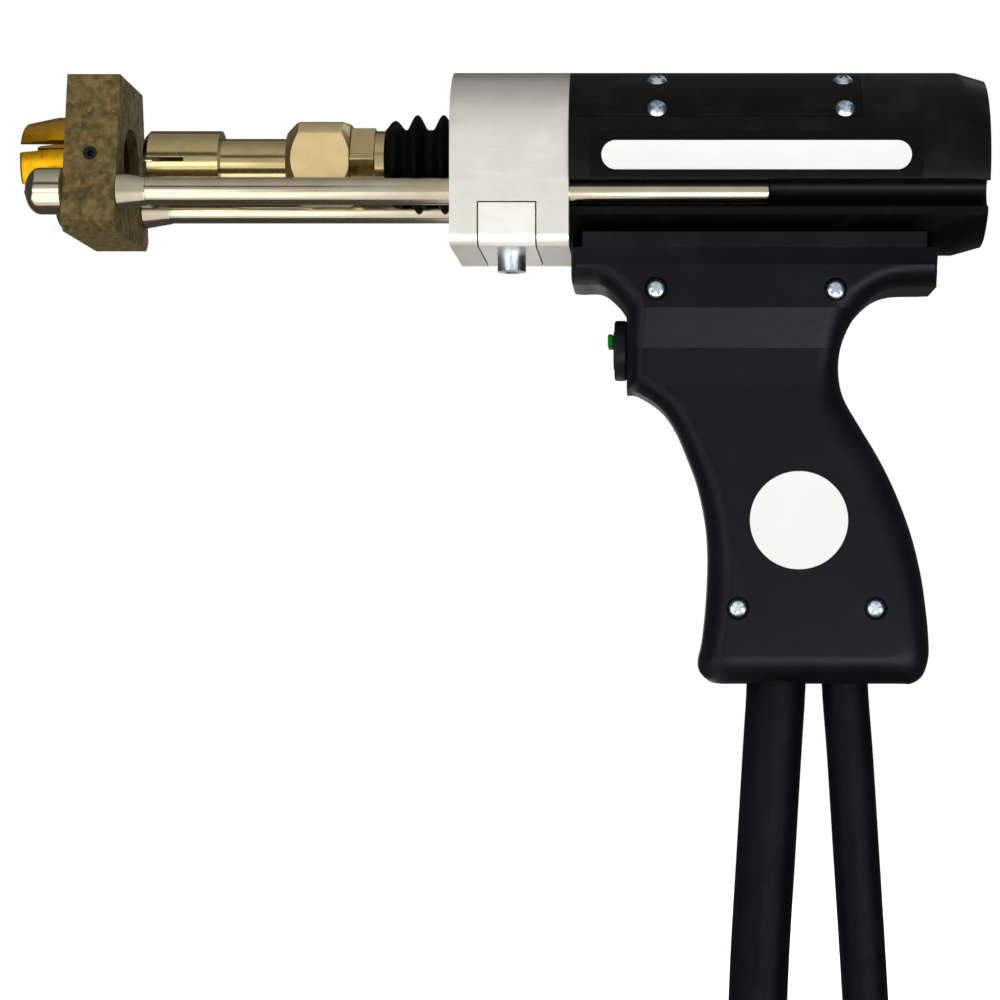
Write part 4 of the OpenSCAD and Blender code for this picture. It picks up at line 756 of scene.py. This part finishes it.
def screw_tree():
    """Nodes that set a screw on each point: crowned head, recess of crossed bars, shank."""
    tree = bpy.data.node_groups.new("screw_rows", "GeometryNodeTree")
    sockets = tree.interface
    sockets.new_socket("Geometry", in_out="INPUT", socket_type="NodeSocketGeometry")
    for label in SCREW_SIZES:
        sockets.new_socket(label, in_out="INPUT", socket_type="NodeSocketFloat")
    sockets.new_socket("Recess Bars", in_out="INPUT", socket_type="NodeSocketInt")
    sockets.new_socket("Finish", in_out="INPUT", socket_type="NodeSocketMaterial")
    sockets.new_socket("Geometry", in_out="OUTPUT", socket_type="NodeSocketGeometry")
    given = put(tree, "NodeGroupInput").outputs
    head_h = given["Head Height"]
    half_head, half_rise, ball_rise, deep, part, half_shank, shank_drop = [
        put(tree, "ShaderNodeMath", {0: a, 1: b}, operation=kind).outputs[0] for a, b, kind in (
            (given["Head Diameter"], 0.5, "MULTIPLY"), (head_h, 0.5, "MULTIPLY"),
            (head_h, given["Crown Radius"], "SUBTRACT"), (given["Recess Depth"], 2.0, "MULTIPLY"),
            (math.pi, given["Recess Bars"], "DIVIDE"), (given["Shank Diameter"], 0.5, "MULTIPLY"),
            (given["Shank Length"], -0.5, "MULTIPLY"))]
    drum = put(tree, "GeometryNodeMeshCylinder",
               {"Vertices": HEAD_SIDES, "Radius": half_head, "Depth": head_h}).outputs["Mesh"]
    ball = put(tree, "GeometryNodeMeshUVSphere",
               {"Segments": HEAD_SIDES, "Rings": HEAD_SIDES,
                "Radius": given["Crown Radius"]}).outputs["Mesh"]
    size = put(tree, "ShaderNodeCombineXYZ",
               {"X": given["Recess Length"], "Y": given["Recess Width"], "Z": deep}).outputs[0]
    bar = put(tree, "GeometryNodeMeshCube", {"Size": size}).outputs["Mesh"]
    spots = put(tree, "GeometryNodeMeshLine", {"Count": given["Recess Bars"], "Offset": (0, 0, 0)})
    order = put(tree, "GeometryNodeInputIndex").outputs[0]
    turn = put(tree, "ShaderNodeMath", {0: order, 1: part}, operation="MULTIPLY").outputs[0]
    turn = put(tree, "ShaderNodeCombineXYZ", {"Z": turn}).outputs[0]
    star = put(tree, "GeometryNodeInstanceOnPoints",
               {"Points": spots.outputs[0], "Instance": bar, "Rotation": turn}).outputs[0]
    star = put(tree, "GeometryNodeRealizeInstances", {"Geometry": star}).outputs[0]
    shank = put(tree, "GeometryNodeMeshCylinder",
                {"Vertices": SHANK_SIDES, "Radius": half_shank,
                 "Depth": given["Shank Length"]}).outputs["Mesh"]
    raised = []
    for mesh, rise in ((drum, half_rise), (ball, ball_rise), (star, head_h), (shank, shank_drop)):
        lift = put(tree, "ShaderNodeCombineXYZ", {"Z": rise}).outputs[0]
        raised.append(put(tree, "GeometryNodeTransform",
                          {"Geometry": mesh, "Translation": lift}).outputs[0])
    drum, ball, star, shank = raised
    head = put(tree, "GeometryNodeMeshBoolean", operation="INTERSECT", solver="EXACT")
    tree.links.new(drum, head.inputs["Mesh 2"])
    tree.links.new(ball, head.inputs["Mesh 2"])
    hollow = put(tree, "GeometryNodeMeshBoolean",
                 {"Mesh 1": head.outputs[0], "Self Intersection": True},
                 operation="DIFFERENCE", solver="EXACT")
    tree.links.new(star, hollow.inputs["Mesh 2"])
    screw = put(tree, "GeometryNodeJoinGeometry")
    tree.links.new(hollow.outputs[0], screw.inputs[0])
    tree.links.new(shank, screw.inputs[0])
    facing = put(tree, "GeometryNodeInputNamedAttribute", {"Name": "facing"}, data_type="FLOAT_VECTOR")
    spin = put(tree, "FunctionNodeRandomValue", {"Min": (0, 0, 0), "Max": (0, 0, math.pi), "Seed": 7},
               data_type="FLOAT_VECTOR").outputs[0]
    spin = put(tree, "FunctionNodeEulerToRotation", {0: spin}).outputs[0]
    aim = put(tree, "FunctionNodeAlignRotationToVector",
              {"Rotation": spin, "Vector": facing.outputs[0]}, axis="Z").outputs[0]
    rows = put(tree, "GeometryNodeInstanceOnPoints",
               {"Points": given["Geometry"], "Instance": screw.outputs[0], "Rotation": aim}).outputs[0]
    rows = put(tree, "GeometryNodeRealizeInstances", {"Geometry": rows}).outputs[0]
    rows = put(tree, "GeometryNodeSetMaterial", {"Geometry": rows, "Material": given["Finish"]})
    put(tree, "NodeGroupOutput", {"Geometry": rows.outputs[0]})
    return tree


SCREW_TREE = screw_tree()


def screw_rows(name, places, sizes, bars, material):
    """Screws at (point, facing) places; sizes in millimetres follow SCREW_SIZES."""
    mesh = bpy.data.meshes.new(name)
    mesh.from_pydata([[c * MM for c in point] for point, _ in places], [], [])
    facing = mesh.attributes.new("facing", "FLOAT_VECTOR", "POINT")
    for value, (_, way) in zip(facing.data, places):
        value.vector = way
    made = bpy.data.objects.new(name, mesh)
    scene.collection.objects.link(made)
    values = {label: number * MM for label, number in zip(SCREW_SIZES, sizes)}
    values.update({"Recess Bars": bars, "Finish": material})
    step = made.modifiers.new("screws", "NODES")
    step.node_group = SCREW_TREE
    for socket in SCREW_TREE.interface.items_tree:
        if socket.in_out == "INPUT" and socket.name in values:
            step[socket.identifier] = values[socket.name]
    return settle(made)


def around(x, radius, angles, facing=None):
    """Places on a ring about the barrel's axis, angles in degrees above the near horizontal."""
    ring = [(-math.cos(math.radians(a)), math.sin(math.radians(a))) for a in angles]
    return [((x, radius * y, AXIS_Z + radius * z), facing or (0, y, z)) for y, z in ring]


# Bars that make up a cross recess and a hexagon socket
CROSS, HEXAGON = 2, 3
# Sizes of each kind of screw in the order of SCREW_SIZES; the shank's length follows where it varies
COVER_PAN = (5.8, 1.6, 3.4, 3.3, 0.9, 0.9, 2.5, 7.0)
GRIP_PAN, UPPER_SHANK, LOWER_SHANK = (6.4, 2.2, 4.2, 3.7, 1.0, 1.2, 3.4), 34.5, 23.6
CAP_SOCKET = (5.4, 3.0, 14.0, 2.5, 1.443, 1.6, 3.0, 22.8)
FLANGE_SOCKET = (7.0, 4.0, 20.0, 3.0, 1.732, 2.2, 4.0, 40.6)
CLAMP_SOCKET = (8.5, 5.0, 24.0, 4.0, 2.309, 2.6, 5.0)
# Rings of screws about the barrel's axis: x, radius, angles, and the way that all heads of a ring face
COVER_ROWS, COVER_RING, COVER_ANGLES = (-35.4, 19.2), BARREL_R + 0.05, (27, 55, 125, 153)
CAP_RING = (58.3, 21.5, (60, 120, 270), (1, 0, 0))
FLANGE_RING = (-91.3, 20.0, (40, 90, 140), (-1, 0, 0))
CLAMP_SCREW_X, FLANGE_BOTTOM = -78.95, 70.0
cover_places = [p for x in COVER_ROWS for p in around(x, COVER_RING, COVER_ANGLES)]
grip_places = [((x, HEAD_SINK - grip_half_width(z), z), (0, -1, 0)) for x, z in GRIP_SCREWS]
clamp_places = [((CLAMP_SCREW_X, 0, FLANGE_BOTTOM), (0, 0, -1))]
clamp_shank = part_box("clamp_screw")[1][2] / MM - FLANGE_BOTTOM
upper = screw_rows("upper", grip_places[:2], (*GRIP_PAN, UPPER_SHANK), CROSS, SCREW_ZINC)
lower = screw_rows("lower", grip_places[2:], (*GRIP_PAN, LOWER_SHANK), CROSS, SCREW_ZINC)
SCREWS = [
    # made piece, body, node, slot, finish
    (screw_rows("cover_pan_screws", cover_places, COVER_PAN, CROSS, SCREW_ZINC),
     "gun", "cover_screws", "zinc_screw", SCREW_ZINC),
    (joined("grip_pan_screws", [upper, lower]), "gun", "grip_screws", "zinc_screw", SCREW_ZINC),
    (screw_rows("cap_socket_screws", around(*CAP_RING), CAP_SOCKET, HEXAGON, SCREW_OXIDE),
     "gun", "rear_cap_screws", "black_oxide_screw", SCREW_OXIDE),
    (screw_rows("flange_socket_screws", around(*FLANGE_RING), FLANGE_SOCKET, HEXAGON, SCREW_OXIDE),
     "gun", "flange_screws", "black_oxide_screw", SCREW_OXIDE),
    (screw_rows("leg_clamp_cap_screw", clamp_places, (*CLAMP_SOCKET, clamp_shank), HEXAGON, SCREW_ZINC),
     "leg_clamp_screw", "clamp_screw", "zinc_screw", SCREW_ZINC),
]
for made, body, node, slot, material in SCREWS:
    dress(made, material, body, [node], sharp=35)

# White strip of the label: length and height as seen, against those of the CAD solid
STRIP_SEEN, STRIP_CAD = (89.6, 8.3), (91.6, 10.0)


def label_strip():
    """Vinyl strip with round ends that follows the barrel, trimmed to the height seen."""
    made = node_copy("white_label_strip", "label_strip")
    low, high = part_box("label_strip")
    mid_x, mid_z = (low[0] + high[0]) / 2, (low[2] + high[2]) / 2
    flat_seen = (STRIP_SEEN[0] - STRIP_SEEN[1]) / 2 * MM
    flat_cad = (STRIP_CAD[0] - STRIP_CAD[1]) / 2 * MM
    trim = STRIP_SEEN[1] / STRIP_CAD[1]
    for vertex in made.data.vertices:
        x, y, z = vertex.co
        radius = math.hypot(y, z - AXIS_Z * MM)
        along = abs(x - mid_x)
        out = max(0.0, along - flat_cad) * trim + min(along, flat_cad) * flat_seen / flat_cad
        z = mid_z + (z - mid_z) * trim
        vertex.co = (mid_x + math.copysign(out, x - mid_x),
                     math.copysign(math.sqrt(radius ** 2 - (z - AXIS_Z * MM) ** 2), y), z)
    dress(made, LABEL_VINYL, "gun", ["label_strip"])


label_strip()

# Solids that keep their shape, with the finish of each
KEPT = {
    "front_bush": BUSH_BRONZE, "label_film": LABEL_FILM, "saddle_screws": SCREW_OXIDE,
    "grip_inserts": INSERT_BRASS, "grip_badge": LABEL_VINYL, "trigger_nut": SCREW_OXIDE,
    "trigger_switch": TRIGGER_BLACK, "ferrule_set_screw": SCREW_OXIDE, "bellows_collar": CHUCK_NICKEL,
    "spindle": SPINDLE_STEEL, "spring_seat": SPINDLE_STEEL, "guide_plate": BUSH_BRONZE,
    "current_clamp": COPPER, "current_lug": COPPER,
    "solenoid_yoke": SOFT_IRON, "solenoid_pole": SOFT_IRON, "solenoid_bobbin": BOBBIN_NYLON,
    "solenoid_coil": COIL_ENAMEL, "armature": SOFT_IRON, "armature_ring": SPRING_WIRE,
    "terminal_block": BOBBIN_NYLON, "control_wires": LEAD_RUBBER, "cable_clamp": PLUG_RUBBER,
    "cable_grommets": BELLOWS_RUBBER,
}
for node, material in KEPT.items():
    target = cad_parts[node].data
    target.materials.clear()
    target.materials.append(material)


# One finger rib: share of its pitch, and share of its depth below the ridge
RIB_SHAPE = ((0.0, 1.0), (0.12, 1.0), (0.3, 0.25), (0.45, 0.0), (0.75, 0.0), (0.9, 0.25))


def ribbed(start, end, radius, depth, pitch):
    """Points (x, radius) of a row of round finger ribs along X."""
    count = round((end - start) / pitch)
    step = (end - start) / count
    points = []
    for k in range(count):
        points += [(start + (k + share) * step, radius - low * depth) for share, low in RIB_SHAPE]
    return points + [(end, radius - depth)]


# Plugs at the far ends of the leads, lying along X: places and sizes as in the part's source
WELD_PLUG, WELD_PLUG_LEN, WELD_PLUG_R, PIN_LEN, PIN_R = (62.0, 178.0, -213.8), 58.0, 15.0, 28.0, 6.5
CONTROL_PLUG, CONTROL_PLUG_LEN, CONTROL_PLUG_R = (90.0, 142.0, -210.8), 52.0, 12.0
# Flutes around the control plug's coupling ring: number, points and depth of each, and the power that
# rounds them
FLUTES, FLUTE_STEPS, FLUTE_DEPTH, FLUTE_POWER = 20, 6, 0.9, 0.7


def welding_plug():
    """Moulded sleeve with finger ribs over a brass pin with a round nose."""
    x, y, z = WELD_PLUG
    end, r = x + WELD_PLUG_LEN, WELD_PLUG_R
    sleeve = [(x, 0), (x, 10.4), (x + 0.6, 11)] + ribbed(x + 3, x + 15, 12.4, 1.2, 4)
    sleeve += [(x + 16.5, 14.6), (x + 17.2, r), (x + 21, r)] + ribbed(x + 22, x + 46, r, 1.1, 4)
    sleeve += [(x + 47, r), (end - 0.8, r), (end, r - 0.8), (end, PIN_R + 4), (end - 6, PIN_R + 3.4),
               (end - 6, 0)]
    pin = [(end - 7, 0), (end - 7, PIN_R), (end + PIN_LEN - 3, PIN_R), (end + PIN_LEN - 1, PIN_R - 0.8),
           (end + PIN_LEN, PIN_R - 2.4), (end + PIN_LEN, 0)]
    body = dress(turned("welding_plug_sleeve", sleeve, y, z), PLUG_RUBBER, "gun",
                 ["welding_plug"], sharp=40)
    nose = dress(turned("welding_plug_pin", pin, y, z, 64), INSERT_BRASS, "gun")
    return [body, nose]


def control_plug():
    """Moulded boot, coupling ring with flutes for the fingers, and an open front."""
    x, y, z = CONTROL_PLUG
    ring, end, r = x + 20, x + CONTROL_PLUG_LEN, CONTROL_PLUG_R
    boot = [(x, 0), (x, 8.0), (x + 0.5, 8.5)] + ribbed(x + 2, x + 14, 9.2, 0.9, 3)
    boot += [(x + 15, 9.4), (ring, 11.2), (ring, 0)]
    front = [(end - 11, 0), (end - 11, 9), (end - 0.6, 9), (end, 8.5), (end, 7.2), (end - 8, 7.0),
             (end - 8, 0)]
    outline = []
    for k in range(FLUTES * FLUTE_STEPS):
        angle = 2 * math.pi * k / (FLUTES * FLUTE_STEPS)
        radius = r - FLUTE_DEPTH * max(0.0, math.cos(FLUTES * angle)) ** FLUTE_POWER
        outline.append((y + radius * math.cos(angle), z + radius * math.sin(angle)))
    coupling = softened(prism("coupling", outline, ring, end - 10, "X"), 0.5, 2, 60)
    parts = [turned("boot", boot, y, z, 64), turned("front", front, y, z, 64), coupling]
    return [dress(joined("control_plug_body", parts), PLUG_RUBBER, "gun",
                  ["control_plug"], sharp=40)]


# Ties round the coils: band size, gaps to the leads and to the bench, and the angles about the coil's
# middle
TIE_WIDTH, TIE_THICK, TIE_GAP, TIE_LIFT = 5.0, 1.1, 0.15, 0.02
WELD_TIES, CONTROL_TIES = (25, -95), (70, -150)


def bundle_tie(name, coil, radius, angle):
    """Nylon band drawn tight round all turns of a coil where they cross an angle."""
    points = []
    for before, after in zip(coil, coil[1:]):
        turn = 180 - angle
        while turn < coil[-1][0]:
            if before[0] <= turn < after[0]:
                s = eased_step((turn - before[0]) / (after[0] - before[0]))
                points.append((before[1] + (after[1] - before[1]) * s,
                               before[2] + (after[2] - before[2]) * s))
            turn += 360
    reach = radius + TIE_GAP
    swarm = [(u + reach * math.cos(math.radians(a)), v + reach * math.sin(math.radians(a)))
             for u, v in points for a in range(0, 360, 6)]
    hull = []
    for row in (sorted(swarm), sorted(swarm, reverse=True)):
        side = []
        for p in row:
            while len(side) > 1 and ((side[-1][0] - side[-2][0]) * (p[1] - side[-2][1])
                                     - (side[-1][1] - side[-2][1]) * (p[0] - side[-2][0])) <= 0:
                side.pop()
            side.append(p)
        hull += side[:-1]
    shape = bmesh.new()
    rings = []
    count = len(hull)
    for across, out in ((-0.5, 0.0), (0.5, 0.0), (0.5, 1.0), (-0.5, 1.0)):
        ring = []
        for k, (u, v) in enumerate(hull):
            ahead = Vector(hull[(k + 1) % count]) - Vector(hull[k - 1])
            normal = Vector((ahead.y, -ahead.x)).normalized() * TIE_THICK * out
            lowest = BENCH_Z + TIE_LIFT + TIE_LIFT * (1 - out)
            ring.append(shape.verts.new((u + normal.x, across * TIE_WIDTH, max(v + normal.y, lowest))))
        rings.append(ring)
    for a, b in zip(rings, rings[1:] + rings[:1]):
        for k in range(count):
            n = (k + 1) % count
            shape.faces.new((a[k], a[n], b[n], b[k]))
    bmesh.ops.rotate(shape, verts=shape.verts[:], cent=(0, 0, 0),
                     matrix=Matrix.Rotation(math.radians(angle), 3, "Z"))
    bmesh.ops.translate(shape, verts=shape.verts[:], vec=(COIL_X, COIL_Y, 0))
    bmesh.ops.recalc_face_normals(shape, faces=shape.faces[:])
    return dress(from_bmesh(name, shape, tidy=False), TIE_NYLON, "gun")


weld_pieces = welding_plug() + [
    bundle_tie(f"welding_lead_tie_{k + 1}", WELD_COIL, WELD_R, angle)
    for k, angle in enumerate(WELD_TIES)]
control_pieces = control_plug() + [
    bundle_tie(f"control_lead_tie_{k + 1}", CONTROL_COIL, CONTROL_R, angle)
    for k, angle in enumerate(CONTROL_TIES)]
for made, length, radius, exit_x, nodes, pieces in (
    (weld_lead, weld_length, WELD_R, WELD_EXIT, ("welding_cable", "welding_cable_coil"), weld_pieces),
    (control_lead, control_length, CONTROL_R, CONTROL_EXIT, ("control_cable", "control_cable_coil"),
     control_pieces),
):
    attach(made, "gun")
    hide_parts(*nodes)


def studio_world():
    """Surroundings: white to the eye, darker from front to back in reflections, soft as light."""
    world = bpy.data.worlds.new("white_studio")
    world.use_nodes = True
    tree = world.node_tree
    tree.nodes.clear()
    path = put(tree, "ShaderNodeLightPath").outputs
    way = put(tree, "ShaderNodeTexCoord").outputs["Generated"]
    depth = put(tree, "ShaderNodeSeparateXYZ", {0: way}).outputs["Y"]
    mirrored = put(tree, "ShaderNodeMapRange",
                   {"Value": depth, "From Min": MIRROR_WAY[0], "From Max": MIRROR_WAY[1],
                    "To Min": MIRROR_LEVEL[0], "To Max": MIRROR_LEVEL[1]})
    seen = put(tree, "ShaderNodeMath", {0: path["Is Glossy Ray"], 1: path["Is Transmission Ray"]},
               operation="MAXIMUM").outputs[0]
    strength = put(tree, "ShaderNodeMix", {0: seen, 2: AMBIENT, 3: mirrored.outputs[0]}).outputs[0]
    strength = put(tree, "ShaderNodeMix", {0: path["Is Camera Ray"], 2: strength, 3: 1.0}).outputs[0]
    sky = put(tree, "ShaderNodeBackground", {"Color": (1, 1, 1, 1), "Strength": strength})
    put(tree, "ShaderNodeOutputWorld", {"Surface": sky.outputs[0]})
    scene.world = world


def studio_floor():
    """Pale floor under the coils that reads white and keeps the shadows."""
    material = bpy.data.materials.new("pale_floor_paint")
    material.use_nodes = True
    tree = material.node_tree
    tree.nodes.clear()
    path = put(tree, "ShaderNodeLightPath").outputs
    seen = put(tree, "ShaderNodeMath", {0: path["Is Camera Ray"], 1: path["Is Glossy Ray"]},
               operation="MAXIMUM").outputs[0]
    seen = put(tree, "ShaderNodeMath", {0: seen, 1: path["Is Transmission Ray"]},
               operation="MAXIMUM").outputs[0]
    white = put(tree, "ShaderNodeMath", {0: seen, 1: FLOOR_WHITE}, operation="MULTIPLY").outputs[0]
    paint = put(tree, "ShaderNodeBsdfDiffuse", {"Color": srgb("#f4f4f2")})
    glow = put(tree, "ShaderNodeEmission", {"Color": (1, 1, 1, 1), "Strength": white})
    both = put(tree, "ShaderNodeAddShader", {0: paint.outputs[0], 1: glow.outputs[0]})
    put(tree, "ShaderNodeOutputMaterial", {"Surface": both.outputs[0]})
    shape = bmesh.new()
    bmesh.ops.create_grid(shape, x_segments=4, y_segments=4, size=FLOOR_SIZE)
    bmesh.ops.translate(shape, vec=(0, 0, BENCH_Z), verts=shape.verts[:])
    floor = from_bmesh("floor", shape)
    floor.data.materials.append(material)


def studio_board():
    """Dark boards below, behind and high in front of the gun that only reflections meet.

    They draw the dark lines on bright metal."""
    material = bpy.data.materials.new("dark_felt_board")
    material.use_nodes = True
    tree = material.node_tree
    tree.nodes.clear()
    felt = put(tree, "ShaderNodeEmission", {"Color": srgb("#f6f4ea"), "Strength": BOARD_LEVEL})
    put(tree, "ShaderNodeOutputMaterial", {"Surface": felt.outputs[0]})
    shape = bmesh.new()
    for left, right, front in BOARD_FLATS:
        shape.faces.new([shape.verts.new((x, y, BOARD_LOW)) for x, y in (
            (left, front), (right, front), (right, BOARD_BACK), (left, BOARD_BACK))])
    for (x0, y0), (x1, y1) in zip(BOARD_WALL, BOARD_WALL[1:]):
        shape.faces.new([shape.verts.new((x, y, z)) for x, y, z in (
            (x0, y0, BOARD_LOW), (x1, y1, BOARD_LOW), (x1, y1, BOARD_HIGH), (x0, y0, BOARD_HIGH))])
    left, right, near, low, high = BOARD_LINE
    shape.faces.new([shape.verts.new((x, near, z)) for x, z in (
        (left, low), (right, low), (right, high), (left, high))])
    board = from_bmesh("dark_board", shape)
    board.data.materials.append(material)
    board.visible_camera = False
    board.visible_diffuse = False
    board.visible_transmission = False
    board.visible_shadow = False


def studio_lamps():
    """Soft lamps that light the surfaces, and strips that only reflections meet.

    The strips draw the bright lines along the legs, the chuck and the grip's edges."""
    for name, place, aim, size, power, lights, mirrored in LAMPS:
        light = bpy.data.lights.new(name, "AREA")
        light.shape = "RECTANGLE"
        light.size, light.size_y = size
        light.energy = power
        lamp = bpy.data.objects.new(name, light)
        lamp.location = place
        lamp.rotation_euler = (Vector(aim) - Vector(place)).to_track_quat("-Z", "Y").to_euler()
        lamp.visible_camera = False
        lamp.visible_diffuse = lights
        lamp.visible_glossy = mirrored
        scene.collection.objects.link(lamp)


# Light level of the surroundings, and what reflections meet there: ways along Y, and their levels
AMBIENT = 0.48
MIRROR_WAY, MIRROR_LEVEL = (-0.85, 0.25), (0.98, 0.44)
# How much of the floor's white is its own, and half its width in millimetres
FLOOR_WHITE, FLOOR_SIZE = 0.6, 20000
# The boards: level in reflections, heights, flat parts as (left, right, front), wall line as (x, y)
BOARD_LEVEL = 0.12
BOARD_LOW, BOARD_HIGH, BOARD_BACK = -240, 1200, 700
BOARD_FLATS = [(-900, -128, -60), (-128, -40, 520), (-40, 900, -200)]
BOARD_WALL = [(-900, -700), (-900, BOARD_BACK), (900, BOARD_BACK), (900, -700)]
# Narrow board high in front: left, right, y, low and high edge
BOARD_LINE = (-840, -200, -600, 330, 515)
# Each lamp: name, place and aim in metres, size in metres, power in watts, and whether it lights
# surfaces and whether reflections meet it
LAMPS = [
    ("leg_strip", (-0.51, -0.38, -0.175), (-0.51, -0.23, 0.205), (0.66, 0.41), 1.4, False, True),
    ("front_strip", (-0.56, -0.6, 0.03), (-0.56, 0, 0.09), (0.6, 0.14), 1.05, False, True),
    ("grip_strip", (0.295, -0.4, -0.19), (0.295, 0, 0.05), (0.69, 0.16), 2.75, False, True),
    ("flange_panel", (-0.115, 0.6, -0.06), (-0.078, 0, 0.07), (0.1, 0.16), 0.044, False, True),
    ("high_front_lamp", (-0.45, -0.85, 0.7), (-0.06, 0, 0.05), (0.9, 0.6), 7.9, True, False),
    ("top_lamp", (-0.1, 0.0, 1.1), (-0.05, 0, 0.0), (1.2, 0.7), 2.4, True, False),
    ("rear_lamp", (0.3, 0.9, 0.5), (0, 0, 0), (0.9, 0.9), 6.0, True, True),
]
studio_world()
studio_floor()
studio_board()
studio_lamps()
